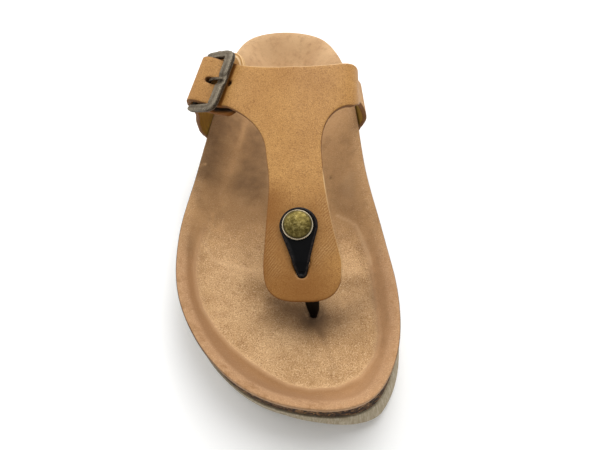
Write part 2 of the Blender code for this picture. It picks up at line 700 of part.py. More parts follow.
def t_strap_pattern():
    """Outline and holes of the T-strap in girth and run."""
    medial_base = base_line((MEDIAL_FRONT, "run"), (MEDIAL_BACK, "run"), 1.0, 0.0)
    billet = billet_outline()
    stretches = [
        table_line(MEDIAL_FRONT, "girth", "run", medial_base[0, 0], MEDIAL_FRONT["girth"][0]),
        bezier(*FILLET_MEDIAL[::-1]),
        tongue_outline(),
        bezier(*FILLET_LATERAL, billet[0]),
        billet,
        np.stack([billet[-1], (-LATERAL_BACK["girth"][-1], LATERAL_BACK["run"][-1])]),
        table_line(LATERAL_BACK, "girth", "run", LATERAL_BACK["girth"][-1], 0.0, -1.0),
        table_line(MEDIAL_BACK, "girth", "run", 0.0, medial_base[-1, 0]),
        medial_base[::-1],
    ]
    outline_loop = np.concatenate([spaced(line, PATTERN_CELL) for line in stretches])
    holes = [slot_pattern(), billet_hole(*PRONG_HOLE, 12, 3.0)]
    holes += [billet_hole(p, SPARE_HOLE_RADIUS, SPARE_HOLE_RADIUS, 10) for p in SPARE_HOLES]
    return outline_loop, holes


def lateral_strap_pattern():
    """Outline and window of the strap under the billet."""
    base = base_line((LATERAL_STRAP, "front"), (LATERAL_STRAP, "back"), -1.0, LAYER)
    start = LATERAL_STRAP["girth"][0]
    front, back = LATERAL_STRAP["front"][0], LATERAL_STRAP["back"][0]
    c, s = superellipse(2.5, -math.pi / 2, math.pi / 2)
    tab = np.stack([-start + (start - TAB_END) * c, mix(back, front, (1 + s) / 2)], -1)
    stretches = [
        tab,
        table_line(LATERAL_STRAP, "girth", "front", start, -base[0, 0], -1.0),
        base,
        table_line(LATERAL_STRAP, "girth", "back", -base[-1, 0], start, -1.0),
    ]
    outline_loop = np.concatenate([spaced(line, PATTERN_CELL) for line in stretches])
    return outline_loop, [billet_hole(PIVOT_P, *RING_WINDOW, 12, 4.0)]


def inside(points, loop):
    """Which points lie inside a closed loop."""
    x, y = points[:, 0, None], points[:, 1, None]
    x1, y1 = loop.T
    x2, y2 = np.roll(loop, -1, 0).T
    crosses = (y1 > y) != (y2 > y)
    with np.errstate(divide="ignore", invalid="ignore"):
        at = x1 + (y - y1) / (y2 - y1) * (x2 - x1)
    return (crosses & (x < at)).sum(1) % 2 == 1


def loop_distance(points, loop):
    ax, ay = loop.T
    dx, dy = (np.roll(loop, -1, 0) - loop).T
    px, py = points[:, 0, None] - ax, points[:, 1, None] - ay
    along = np.clip((px * dx + py * dy) / (dx * dx + dy * dy), 0.0, 1.0)
    return np.hypot(px - along * dx, py - along * dy).min(1)


def billet_rows(grid):
    """The grid with rows along the bars instead of its own points where the billet waves."""
    first, step = WAVE_ROWS
    half = BILLET_HALF - BILLET_ROOM
    p, q = np.meshgrid(np.arange(first, BILLET_END, step), np.linspace(-half, half, 6))
    rows = np.stack(buckle_to_pattern(p.ravel(), q.ravel()), -1)
    away = (pattern_to_buckle(*grid.T)[0] < first - 0.75 * step) | (grid[:, 0] > 0.0)
    return np.concatenate([grid[away], rows])


def pattern_mesh(outline_loop, holes, cell, stretch, rows=None):
    """Triangles of a flat pattern with its holes, on an inner grid: places and faces."""
    scale = np.array([1.0, stretch])
    loops = [loop * scale for loop in [outline_loop, *holes]]
    low, high = loops[0].min(0), loops[0].max(0)
    axes = [np.arange(first, last, cell) for first, last in zip(low, high)]
    grid = np.stack(np.meshgrid(*axes), -1)
    grid[1::2, :, 0] += cell / 2
    grid = grid.reshape(-1, 2)
    if rows:
        grid = rows(grid / scale) * scale
    keep = inside(grid, loops[0])
    for i, loop in enumerate(loops):
        keep &= loop_distance(grid, loop) > (HOLE_ROOM if i else EDGE_ROOM) * cell
        if i:
            keep &= ~inside(grid, loop)
    points = np.concatenate([*loops, grid[keep]])
    edges, start = [], 0
    for loop in loops:
        edges += [(start + k, start + (k + 1) % len(loop)) for k in range(len(loop))]
        start += len(loop)
    result = delaunay_2d_cdt([Vector(p) for p in points], edges, [], 0, 1e-6)
    places = np.array([tuple(p) for p in result[0]])
    faces = np.array([face for face in result[2]])
    middles = places[faces].mean(1)
    solid = inside(middles, loops[0])
    for loop in loops[1:]:
        solid &= ~inside(middles, loop)
    return places / scale, [tuple(int(v) for v in face) for face in faces[solid]]


# ---- pieces ----------------------------------------------------------------------------------
def make_leather(name, pattern, surface, collection, thick=LEATHER, cell=PATTERN_CELL,
                 stretch=PATTERN_STRETCH, rows=None):
    """Sheet cut to a flat pattern, bent onto a surface and given its thickness."""
    places, faces = pattern_mesh(*pattern, cell, stretch, rows)
    x, station, z = surface(places[:, 0], places[:, 1]).T
    mesh = bpy.data.meshes.new(name)
    mesh.from_pydata(to_metres(x, station, z).tolist(), [], faces)
    piece = bpy.data.objects.new(name, mesh)
    collection.objects.link(piece)
    solidify = piece.modifiers.new("thickness", "SOLIDIFY")
    solidify.thickness = thick * MM
    solidify.offset = 0.0
    solidify.use_even_offset = True
    return piece


def sweep(name, collection, centres, axes, halves, exponent, sides, closed=False):
    """Solid along a line of centres; its section is a superellipse with these axes and halves."""
    c, s = superellipse(exponent, 0.0, 2 * math.pi, sides + 1)
    count = len(centres)
    rings = centres[:, None]
    for axis, half, share in zip(axes, halves, (c[:-1], s[:-1])):
        axis = np.broadcast_to(axis, centres.shape)
        half = np.broadcast_to(half, count)
        rings = rings + axis[:, None] * (half[:, None] * share)[..., None]
    x, station, z = rings.reshape(-1, 3).T
    faces = []
    for i in range(count if closed else count - 1):
        j = (i + 1) % count
        for k in range(sides):
            m = (k + 1) % sides
            faces.append((i * sides + k, i * sides + m, j * sides + m, j * sides + k))
    if not closed:
        faces.append(tuple(range(sides)))
        faces.append(tuple((count - 1) * sides + k for k in range(sides)))
    return new_object(name, to_metres(x, station, z), faces, collection)


def make_outsole(collection):
    turns = loop_turns()

    def top(x, station, at):
        return outsole_top(station)

    def tread(x, station, at):
        return ground(station)

    def low_edge(x, station, at):
        return ground(station) + TREAD_ROUNDING

    low_inset = sole_inset(turns, 1.0 - TREAD_ROUNDING / OUTSOLE_THICK)
    return layer("outsole", collection, (sole_inset(turns, 0.0), top, 2),
                 (sole_inset(turns, 1.0) + TREAD_ROUNDING, tread, 2), [(low_inset, low_edge)])


def make_midsole(collection):
    turns = loop_turns()

    def top(x, station, at):
        return bed_height(x, station) - LINER_THICK - GAP

    def bottom(x, station, at):
        return outsole_top(station) + GAP

    def side(share):
        """Ring on the straight line from the rim to the lower edge."""
        def height(x, station, at):
            _, along, _, _ = outline(at)
            return mix(edge_z(at) - LINER_THICK - GAP, outsole_top(along), share)
        return cork_inset(turns) * share, height

    return layer("midsole", collection, (np.zeros(len(turns)), top, CROSS_STEPS),
                 (cork_inset(turns), bottom, 2), [side(0.5), side(0.9)])


def make_insole(collection):
    turns = loop_turns()

    def top(x, station, at):
        return bed_height(x, station)

    def bottom(x, station, at):
        return bed_height(x, station) - LINER_THICK

    edge = np.zeros(len(turns))
    return layer("insole", collection, (edge, top, CROSS_STEPS), (edge, bottom, CROSS_STEPS), [])


def make_t_strap(collection):
    make_leather("t_strap", t_strap_pattern(), t_strap_point, collection, rows=billet_rows)


def make_lateral_strap(collection):
    def surface(girth, run):
        return strap_point(girth, run, -LAYER, LAYER)

    make_leather("lateral_strap", lateral_strap_pattern(), surface, collection)


def boolean(piece, cutter, operation):
    cut = piece.modifiers.new(operation.lower() + " " + cutter.name, "BOOLEAN")
    cut.operation = operation
    cut.object = cutter
    cut.solver = "EXACT"


def directions(centres):
    """Unit tangents of a line of points."""
    tangent = np.gradient(centres, axis=0)
    return tangent / np.linalg.norm(tangent, axis=1, keepdims=True)


def make_toe_post(collection, cutters):
    """The teardrop head on the strap, and the stem from its narrow end down into the sole."""
    height = LEATHER / 2 + GAP + HEAD_THICK / 2

    def surface(girth, run):
        return strap_point(girth, run, height - HEAD_DIP * smooth(run, *HEAD_DIP_RUNS))

    pattern = (head_pattern(), [])
    head = make_leather("toe_post", pattern, surface, collection, HEAD_THICK, HEAD_CELL, 1.0)
    top = strap_point(STEM_TOP["girth"], STEM_TOP["run"], STEM_TOP["height"])
    centres = np.concatenate([top, np.stack([STEM["x"], STEM["station"], STEM["z"]], -1)])
    halves = [np.concatenate([STEM_TOP[name], STEM[name]]) for name in ("across", "along")]
    tangent = directions(centres)
    along = np.cross(tangent, (1.0, 0.0, 0.0))
    along /= np.linalg.norm(along, axis=1, keepdims=True)
    across = np.cross(along, tangent)
    stem = sweep("toe_post_stem", cutters, centres, (across, along), halves, 2.6, 16)
    boolean(head, stem, "UNION")


def make_foot_hole(cutters):
    """Blind hole for the toe post's foot, through the liner into the cork."""
    depth = FOOT_HOLE_TOP - FOOT_HOLE_BOTTOM
    bpy.ops.mesh.primitive_cylinder_add(vertices=24, radius=FOOT_HOLE_RADIUS * MM, depth=depth * MM)
    cutter = bpy.context.active_object
    cutter.name = "foot_hole"
    middle = to_metres(STEM["x"][-1], STEM["station"][-1], FOOT_HOLE_BOTTOM + depth / 2)
    cutter.location = Vector(middle[0])
    for owner in list(cutter.users_collection):
        owner.objects.unlink(cutter)
    cutters.objects.link(cutter)
    return cutter


def make_post_cap(collection):
    """Turned dome: a quarter profile with a small upright rim, screwed round its axis."""
    angle = np.linspace(0.0, math.pi / 2, 8)
    r = CAP_RADIUS * np.cos(angle)
    z = CAP_RIM + (CAP_HEIGHT - CAP_RIM) * np.sin(angle)
    profile = [(0.0, 0.0), (CAP_RADIUS - CAP_CHAMFER, 0.0), (CAP_RADIUS, CAP_CHAMFER), *zip(r, z)]
    edges = [(i, i + 1) for i in range(len(profile) - 1)]
    mesh = bpy.data.meshes.new("post_cap")
    mesh.from_pydata([(a * MM, 0.0, b * MM) for a, b in profile], edges, [])
    piece = bpy.data.objects.new("post_cap", mesh)
    collection.objects.link(piece)
    screw = piece.modifiers.new("turning", "SCREW")
    screw.steps = CAP_STEPS
    screw.render_steps = CAP_STEPS
    screw.use_normal_flip = True
    screw.use_merge_vertices = True
    screw.merge_threshold = 0.00002
    seat = strap_point(CAP_GIRTH, CAP_RUN, LEATHER / 2 + GAP + HEAD_THICK + GAP)
    normal = seat - strap_point(CAP_GIRTH, CAP_RUN, 0.0)
    upright = Vector(normal).to_track_quat("Z", "Y").to_matrix().to_4x4()
    piece.matrix_world = Matrix.Translation(Vector(to_metres(*seat)[0])) @ upright


def make_buckle_frame(collection):
    """Front bar, two short bars and the thin pivot bar, swept in one closed loop."""
    c, s = superellipse(FRAME_ROUNDING, 0.0, 2 * math.pi, 400)
    loop = np.stack([np.where(c > 0, EAR_P, -FRONT_BAR_P) * c, BAR_Q * s], -1)
    path = spaced(loop, FRAME_SPACING)
    tangent = np.roll(path, -1, 0) - np.roll(path, 1, 0)
    tangent /= np.linalg.norm(tangent, axis=1, keepdims=True)
    p, q = path.T
    outward = tangent[:, 1, None] * BUCKLE_P - tangent[:, 0, None] * BUCKLE_Q
    pivot = (p > 0) * (1.0 - smooth(abs(q), BILLET_HALF - 0.2, BAR_Q - 0.4))
    front = (p < 0) * smooth(abs(tangent[:, 1]), 0.35, 0.98)
    half = SIDE_HALF + (FRONT_HALF - SIDE_HALF) * front + (PIVOT_HALF - SIDE_HALF) * pivot
    thick = mix(BAR_THICK / 2, PIVOT_HALF, pivot)
    dip = NOTCH * (p < 0) * (1.0 - smooth(abs(q), 1.3, 3.4))
    centres = buckle_point(p - (EAR_P - PIVOT_P) * pivot, q, -dip / 2)
    axes, halves = (outward, BUCKLE_N), (half, thick - dip / 2)
    sweep("buckle_frame", collection, centres, axes, halves, 2.6, 10, True)


def make_buckle_prong(collection, cutters):
    """The prong with its eye round the pivot bar."""
    angle = np.linspace(0.0, 2 * math.pi, EYE_STEPS + 1)[:-1]
    radius, half = (RING_OUTER + RING_INNER) / 2, (RING_OUTER - RING_INNER) / 2
    centres = buckle_point(PIVOT_P + radius * np.cos(angle), 0.0, radius * np.sin(angle))
    radial = np.cos(angle)[:, None] * BUCKLE_P + np.sin(angle)[:, None] * BUCKLE_N
    axes, halves = (radial, BUCKLE_Q), (half, RING_HALF)
    eye = sweep("buckle_prong", collection, centres, axes, halves, 6.0, 12, True)
    p = np.linspace(PRONG["p"][0], PRONG["p"][-1], PRONG_STEPS)
    n = curve_through(-PRONG["p"], PRONG["n"])(-p)
    half = curve_through(-PRONG["p"], PRONG["radius"])(-p)
    centres = buckle_point(p, 0.0, n)
    up = np.cross(directions(centres), BUCKLE_Q)
    rod = sweep("prong_rod", cutters, centres, (BUCKLE_Q, up), (half, half), 2.0, 10)
    boolean(eye, rod, "UNION")


# ---- looks and assembly ----------------------------------------------------------------------
LOOKS = {
    "outsole": ((0.36, 0.32, 0.27), 0.85, 0.0),
    "midsole": ((0.055, 0.024, 0.007), 0.8, 0.0),
    "insole": ((0.53, 0.32, 0.155), 0.9, 0.0),
    "t_strap": ((0.52, 0.30, 0.115), 0.6, 0.0),
    "lateral_strap": ((0.50, 0.285, 0.105), 0.6, 0.0),
    "toe_post": ((0.006, 0.0075, 0.007), 0.35, 0.0),
    "post_cap": ((0.27, 0.20, 0.085), 0.35, 1.0),
    "buckle_frame": ((0.13, 0.10, 0.065), 0.35, 1.0),
    "buckle_prong": ((0.13, 0.10, 0.065), 0.35, 1.0),
}


def give_material(piece):
    color, roughness, metallic = LOOKS[piece.name]
    material = bpy.data.materials.new(piece.name)
    material.use_nodes = True
    shader = material.node_tree.nodes["Principled BSDF"]
    shader.inputs["Base Color"].default_value = (*color, 1.0)
    shader.inputs["Roughness"].default_value = roughness
    shader.inputs["Metallic"].default_value = metallic
    piece.data.materials.append(material)


def new_collection(name):
    collection = bpy.data.collections.new(name)
    bpy.context.scene.collection.children.link(collection)
    return collection


def main():
    for old in list(bpy.data.objects):
        bpy.data.objects.remove(old, do_unlink=True)
    sandal = new_collection("toe_post_sandal")
    cutters = new_collection("cutters")
    midsole = make_midsole(sandal)
    insole = make_insole(sandal)
    foot_hole = make_foot_hole(cutters)
    boolean(midsole, foot_hole, "DIFFERENCE")
    boolean(insole, foot_hole, "DIFFERENCE")
    make_outsole(sandal)
    make_t_strap(sandal)
    make_lateral_strap(sandal)
    make_toe_post(sandal, cutters)
    make_post_cap(sandal)
    make_buckle_frame(sandal)
    make_buckle_prong(sandal, cutters)
    for piece in sandal.objects:
        give_material(piece)
    for cutter in cutters.objects:
        cutter.hide_render = True
        cutter.display_type = "WIRE"


main()
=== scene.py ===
# %% [markdown]
# # A toe post sandal, dressed for its portrait
#
# A thong sandal of this kind has few parts: a cork footbed with a suede lining, a foam outsole
# glued under it, one leather strap shaped like a T, a shorter strap with a buckle on the outer
# side, and a plastic toe post held by a brass cap.
# The solid model of the sandal is the frame here. Every piece below is made again with a finer
# mesh on the same surfaces, and gets a finish of its own.

# %% Load the frame
import math

import bmesh
import bpy
import numpy as np
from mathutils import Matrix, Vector
from mathutils.geometry import delaunay_2d_cdt


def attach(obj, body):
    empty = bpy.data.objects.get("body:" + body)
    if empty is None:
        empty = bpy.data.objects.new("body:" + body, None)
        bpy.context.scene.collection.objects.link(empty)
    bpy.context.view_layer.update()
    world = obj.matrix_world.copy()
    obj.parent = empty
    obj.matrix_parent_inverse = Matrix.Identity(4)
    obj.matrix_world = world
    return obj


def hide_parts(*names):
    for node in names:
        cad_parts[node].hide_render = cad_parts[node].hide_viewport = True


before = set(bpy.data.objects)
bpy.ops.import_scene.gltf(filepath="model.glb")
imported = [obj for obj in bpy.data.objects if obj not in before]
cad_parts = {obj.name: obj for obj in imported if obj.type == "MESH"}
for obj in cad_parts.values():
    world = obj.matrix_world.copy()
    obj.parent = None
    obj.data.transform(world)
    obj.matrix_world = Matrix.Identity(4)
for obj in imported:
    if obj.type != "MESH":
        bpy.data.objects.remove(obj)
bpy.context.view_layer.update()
MM = 0.001

# %% [markdown]
# ## Tables and smooth curves
#
# A maker cuts a sandal from patterns: a few measured stations, joined by a smooth hand. The same
# is done here. Each table has a row for a station, and a smooth curve runs through the rows.
# Places are in millimetres: x to the big toe's side, station from the toe tip to the heel, z up.

# %% Helpers for curves
def smooth(x, low=0.0, high=1.0):
    u = np.clip((np.asarray(x, float) - low) / (high - low), 0.0, 1.0)
    return u * u * (3.0 - 2.0 * u)


def mix(a, b, weight):
    return a + (b - a) * weight


def bump(x, wide):
    """Soft hill, 1 in the middle and nearly 0 beyond twice its width."""
    return np.exp(-(np.asarray(x, float) / wide) ** 2)


def table(names, *rows):
    return {name: np.array(column, float) for name, column in zip(names.split(), zip(*rows))}


def curve_through(xs, ys):
    """Smooth curve through the rows, with each slope taken from its neighbours."""
    slopes = np.gradient(ys, xs)

    def value(x):
        x = np.clip(x, xs[0], xs[-1])
        i = np.clip(np.searchsorted(xs, x) - 1, 0, len(xs) - 2)
        span = xs[i + 1] - xs[i]
        u = (x - xs[i]) / span
        start = (1 + 2 * u) * (1 - u) ** 2 * ys[i] + u * (1 - u) ** 2 * span * slopes[i]
        return start + u * u * (3 - 2 * u) * ys[i + 1] + u * u * (u - 1) * span * slopes[i + 1]

    return value


def column(rows, key, name):
    return curve_through(rows[key], rows[name])


def unit(vectors):
    """Vectors with their lengths made 1."""
    return vectors / np.linalg.norm(vectors, axis=-1, keepdims=True)


def length_along(points):
    """Length from the first point of a row to each of its points."""
    return np.concatenate([[0.0], np.cumsum(np.linalg.norm(np.diff(points, axis=0), axis=1))])


def segment_distance(x, y, ax, ay, bx, by):
    """Distance of points from each of a row of segments, and how far along it the foot lies."""
    px, py = np.asarray(x, float)[..., None] - ax, np.asarray(y, float)[..., None] - ay
    dx, dy = bx - ax, by - ay
    along = np.clip((px * dx + py * dy) / np.maximum(dx * dx + dy * dy, 1e-9), 0.0, 1.0)
    return np.hypot(px - along * dx, py - along * dy), along


def line_distance(x, y, line, closed=False):
    """Distance from a drawn line of points."""
    line = np.asarray(line, float)
    end = np.roll(line, -1, 0) if closed else line[1:]
    start = line if closed else line[:-1]
    return segment_distance(x, y, *start.T, *end.T)[0].min(-1)


def inside(points, loop):
    """Which points lie inside a closed line."""
    x, y = points[:, 0, None], points[:, 1, None]
    x1, y1 = loop.T
    x2, y2 = np.roll(loop, -1, 0).T
    crosses = (y1 > y) != (y2 > y)
    with np.errstate(divide="ignore", invalid="ignore"):
        at = x1 + (y - y1) / (y2 - y1) * (x2 - x1)
    return (crosses & (x < at)).sum(1) % 2 == 1


print("a smooth step half way up:", float(smooth(0.5)))

# %% [markdown]
# ## The footbed's outline
#
# The outline is a closed curve, so it is measured as an angle that goes round the sole: 0 at the
# toe tip, half a turn at the heel, negative on the little toe's side. With an angle the curve is
# smooth at the toe and at the heel, where a table of stations alone would leave a corner.

# %% Outline tables
LENGTH = 262.0
CENTRE_X = 0.7  # middle of the sandal's width
OUTSOLE_THICK = 8.0
LINER_THICK = 1.7
LEATHER = 2.3
GAP = 0.3  # room left between two pieces for glue
RIM = table(
    "station lateral medial rim_lateral rim_medial",
    (0, 17, 17, 25.9, 25.9),
    (3, -2.2, 31.2, 25.9, 25.9),
    (12, -18.9, 40.4, 25.3, 25.4),
    (28, -33.8, 47.2, 23.9, 24.2),
    (52, -46, 50, 22.9, 23.2),
    (85, -51.2, 47.6, 22.2, 23.4),
    (125, -48.6, 42.3, 24.5, 29),
    (165, -44.8, 39.8, 29.8, 37),
    (200, -40.6, 37.6, 34.2, 38.2),
    (232, -36, 32.3, 37.2, 37.6),
    (252, -27.2, 22.4, 38, 38),
    (262, -2.6, -2.6, 38, 38),
)
BED = table(
    "station middle band",
    (0, 19, 9.5), (14, 18, 10), (32, 16.2, 11), (55, 15.4, 12.5),
    (90, 15.2, 16), (130, 17.8, 24), (165, 20.3, 30), (200, 21.3, 30),
    (235, 21.8, 28), (262, 23, 26),
)


# %% Outline and rim
NUDGE = 0.01  # radians to both sides, to find a direction


def turn_of(station):
    """Angle round the outline, 0 at the toe tip and pi at the heel."""
    return np.arccos(np.clip(1.0 - 2.0 * np.asarray(station, float) / LENGTH, -1.0, 1.0))


def closed_curve(lateral, medial):
    turn = turn_of(RIM["station"])
    angles = np.concatenate([-turn[::-1][:-1], turn])
    values = np.concatenate([RIM[lateral][::-1][:-1], RIM[medial]])
    around = np.concatenate([angles[-4:-1] - math.tau, angles, angles[1:4] + math.tau])
    return curve_through(around, np.concatenate([values[-4:-1], values, values[1:4]]))


edge_x = closed_curve("lateral", "medial")
edge_z = closed_curve("rim_lateral", "rim_medial")
bed_middle = column(BED, "station", "middle")
bed_band = column(BED, "station", "band")


def outline(turn):
    """Sideways place, station and outward normal of the rim at an angle round it."""
    turn = np.asarray(turn, float)

    def at(angle):
        wrapped = (angle + math.pi) % math.tau - math.pi
        return edge_x(wrapped), LENGTH / 2 * (1.0 - np.cos(angle))

    x, station = at(turn)
    dx, ds = np.subtract(at(turn + NUDGE), at(turn - NUDGE))
    size = np.hypot(dx, ds)
    return x, station, ds / size, -dx / size


def moved_in(turn, inset):
    x, station, normal_x, normal_s = outline(turn)
    return x - normal_x * inset, station - normal_s * inset


RIM_TURNS = np.linspace(-math.pi, math.pi, 481)[:-1]
RIM_X, RIM_STATION, _, _ = outline(RIM_TURNS)
RIM_Z = edge_z(RIM_TURNS)


def rim_distance(x, station):
    """Distance in plan from the rim, and the rim's height at its nearest point."""
    x, station = np.broadcast_arrays(np.asarray(x, float), np.asarray(station, float))
    ends = np.roll(np.arange(len(RIM_X)), -1)
    far, along = segment_distance(x, station, RIM_X, RIM_STATION, RIM_X[ends], RIM_STATION[ends])
    nearest = far.argmin(-1)
    share = np.take_along_axis(along, nearest[..., None], -1)[..., 0]
    return far.min(-1), mix(RIM_Z[nearest], RIM_Z[ends][nearest], share)


HALF_WAY = turn_of(LENGTH / 2)
print("half way along, the footbed is",
      round(float(edge_x(HALF_WAY) - edge_x(-HALF_WAY)), 1), "mm wide")

# %% [markdown]
# ## The bed under the foot
#
# A moulded footbed is a shallow dish: a hollow for the heel, a pad behind the ball, and a low
# ridge for the toes to grip. The press leaves a faint step where the inner bed meets the sloping
# rim. Soft hills are added to a dish that rises to the rim, and the step is drawn as a given line.

# %% Relief of the bed
RELIEF = table(
    "side station wide long height",
    (2, 64, 34, 5.5, 1.8),  # ridge under the bend of the toes
    (8, 88, 26, 15, -1),  # hollow for the ball of the foot
    (1, 126, 13, 17, 2.6),  # pad behind the ball
    (24, 34, 14, 14, -0.9),  # hollow for the big toe
    (-3, 222, 18, 20, -1.2),  # bottom of the heel cup
)
PRESS_LINE = [  # step between the inner bed and the rim's slope
    (26.7, 104.2), (35, 95), (38.6, 84), (40, 74), (40.4, 60), (40.6, 46),
    (40.3, 34), (37.4, 24.5), (31, 16), (21.8, 11.5), (11.2, 10.8), (3, 12.6),
    (-4.4, 16.6), (-13, 22.6), (-20.4, 28.9), (-28.4, 37.6), (-34.6, 46.4), (-37.6, 53),
    (-39.6, 60), (-41.4, 68), (-42, 78), (-41, 90), (-38.6, 104), (-36.4, 118),
]
GRIP_LINES = [  # crest of the ridge that the toes grip
    [(-39.5, 70.8), (-33, 72.8), (-25, 71.2), (-16, 66), (-8.6, 60.1), (0, 58)],
    [(29, 60.4), (34.5, 66), (38.5, 73)],
]
STEM_FOOT = (13.3, 45.7)
DIMPLE = (4.2, 0.7)  # the post's foot draws the lining down: radius and depth
PRESS_LIP = (0.25, 1.4)  # height and width of the press line's lip
PRESS_HOLLOW = (0.45, 6.0)  # depth and width of the hollow inside it
PRESS_FADE = (78.0, 108.0)  # stations between which the step runs out
GRIP_RIDGE = (0.5, 2.2)  # height and width of the toe grip's crest


def press_step(x, station):
    """Distance from the press line, 1 inside it and 0 outside, and how far the step has faded."""
    x, station = np.broadcast_arrays(np.asarray(x, float), station)
    far = line_distance(x, station, PRESS_LINE)
    points = np.stack([x.ravel(), station.ravel()], -1)
    within = inside(points, np.array(PRESS_LINE)).reshape(x.shape)
    return far, smooth(np.where(within, far, -far), -0.3, 0.5), 1.0 - smooth(station, *PRESS_FADE)


def bed_height(x, station, fine=False):
    """Height of the lining's upper face."""
    away, rim = rim_distance(x, station)
    middle = bed_middle(station)
    for side, place, wide, long, height in zip(*RELIEF.values()):
        middle = middle + height * bump(x - side, wide) * bump(station - place, long)
    z = mix(middle, rim, 1.0 - smooth(away / bed_band(station)))
    if fine:
        from_step, within, fade = press_step(x, station)
        z = z + fade * (PRESS_LIP[0] * bump(from_step, PRESS_LIP[1])
                        - PRESS_HOLLOW[0] * within * bump(from_step, PRESS_HOLLOW[1]))
        for line in GRIP_LINES:
            z = z + GRIP_RIDGE[0] * bump(line_distance(x, station, line), GRIP_RIDGE[1])
        z = z - DIMPLE[1] * bump(np.hypot(x - STEM_FOOT[0], station - STEM_FOOT[1]), DIMPLE[0])
    return z


print("heel cup's floor is", round(float(bed_height(-3.0, 222.0)), 1), "mm up")

# %% [markdown]
# ## The sole's sides
#
# The outsole lies flat from heel to ball and rises at the toe. The cork and the foam are trimmed
# by a disc that is held at a slant, so their sides lean in under the rim.

# %% Side profile
TOE_SPRING = (7.0, 48.0)  # height and run
HEEL_SPRING = (1.6, 14.0)
CORK_INSET = (1.6, 2.2, 2.0)  # lower edge: inset, how much it leans, inset at the heel
SOLE_INSET = (1.7, 6.4, 3.2)
SOLE_PROUD = 0.5  # how far the foam's top stands out past the cork
LEAN_RANGE = (-0.25, 0.75)
LEAN_FADE = (60.0, 125.0)  # stations between which the front's lean ends
STRAP_SKIVE = 2.4  # cork taken off where the straps go down
STRAP_ZONE = (142.0, 150.0, 200.0, 210.0)


def ground(station):
    toe = np.clip(1.0 - np.asarray(station, float) / TOE_SPRING[1], 0.0, 1.0)
    heel = np.clip((station - LENGTH + HEEL_SPRING[1]) / HEEL_SPRING[1], 0.0, 1.0)
    return TOE_SPRING[0] * toe ** 2 + HEEL_SPRING[0] * heel ** 2


def outsole_top(station):
    return ground(station) + OUTSOLE_THICK


def inset_at(turn, mean, lean, hind):
    _, station, normal_x, _ = outline(turn)
    front = mean - lean * np.clip(normal_x, *LEAN_RANGE)
    return mix(front, hind, smooth(station, *LEAN_FADE))


def strap_zone(station):
    return smooth(station, *STRAP_ZONE[:2]) * (1.0 - smooth(station, *STRAP_ZONE[2:]))


def cork_inset(turn):
    _, station, _, _ = outline(turn)
    return inset_at(turn, *CORK_INSET) + STRAP_SKIVE * strap_zone(station)


def sole_inset(turn, share):
    return mix(inset_at(turn, *CORK_INSET) - SOLE_PROUD, inset_at(turn, *SOLE_INSET), share)


print("toe tip stands", float(ground(0.0)), "mm off the floor")

# %% [markdown]
# ## The surface that the straps follow
#
# Leather bends but does not stretch, so a strap is thought of as a flat pattern laid on a curved
# surface. A place on the pattern has a girth, sideways over the instep, and a run, from the back
# edge towards the toe. The arch comes from adding up its slope in small steps, and near the sole
# the straps are pressed to the cork's side.

# %% Strap surface tables
CROWN = (8.0, 137.0, 82.0)  # x, station and height of the crown
RUN_SLOPES = (22.0, 31.0, 110.0)  # fall at the back edge and at the tip, and the run between
TAPER = (0.003, 0.001, 150.0)  # medial, lateral, and the station where it starts
ARCH_MEDIAL = table(
    "girth slope",
    (0, 0), (10, 5), (21, 28), (30, 73), (40, 84.5), (50, 71), (60, 66),
    (70, 83), (90, 98),
)
ARCH_LATERAL = table(
    "girth slope",
    (0, 0), (14, 17), (30, 25), (50.3, 30), (57, 62), (62.5, 79),
    (72, 74), (84, 86), (130, 98),
)
CREST_SKEW = 0.35  # how much the lateral bend follows the buckle's slant
CREST_START = (32.0, 48.0)
CREST_SLOPE = math.radians(29.0)
SEAT_START = 4.5  # height over the rim where a strap turns to the cork
SEAT_EASE = 10.5  # height that this turn takes
SEAT_UPRIGHT = 4.0  # height over the rim where it leans inwards
SEAT_ROUNDING = 3.5  # half the height of that bend
SEAT_SLANT = 0.8  # sideways for each millimetre up
SEAT_SOFTNESS = 1.6
SEAT_GIRTH = (48.0, 62.0)
SEAT_FREE = 80.0  # far enough that the middle of the arch is left alone
LAYER = LEATHER + GAP  # from the middle of one strap to that of the strap beneath
BUCKLE_GIRTH = 47.0
BUCKLE_RUN = -1.2
BUCKLE_SWEEP = math.radians(20.0)
STEP = 0.25  # fineness of the tables that are summed up
PROBE = 0.6  # distance to both sides, to find a normal


# %% Strap surface
def summed(values):
    """Running sum that starts at zero."""
    return np.concatenate([[0.0], np.cumsum(values)[:-1]])


def arc_table(rows):
    """Sideways reach and drop of the arch against the girth."""
    girth = np.arange(0.0, 160.0, STEP)
    slope = np.radians(column(rows, "girth", "slope")(girth + STEP / 2))
    return girth, summed(np.cos(slope) * STEP), summed(np.sin(slope) * STEP)


ARC_MEDIAL = arc_table(ARCH_MEDIAL)
ARC_LATERAL = arc_table(ARCH_LATERAL)
RUNS = np.arange(-60.0, 140.0, STEP)
RUN_SLOPE = np.radians(mix(RUN_SLOPES[0], RUN_SLOPES[1], np.clip(RUNS / RUN_SLOPES[2], 0.0, 1.0)))
RUN_STATION = np.cumsum(np.cos(RUN_SLOPE) * STEP)
RUN_FALL = np.cumsum(np.sin(RUN_SLOPE) * STEP)
RUN_STATION -= np.interp(0.0, RUNS, RUN_STATION)
RUN_FALL -= np.interp(0.0, RUNS, RUN_FALL)


def wall_x(station, side, z):
    """Sideways place of the cork's side at a height."""
    turn = turn_of(station) * side
    top, low = edge_z(turn) - LINER_THICK - GAP, outsole_top(station)
    depth = np.clip((top - z) / (top - low), 0.0, 1.0)
    return edge_x(turn) - side * depth * cork_inset(turn)


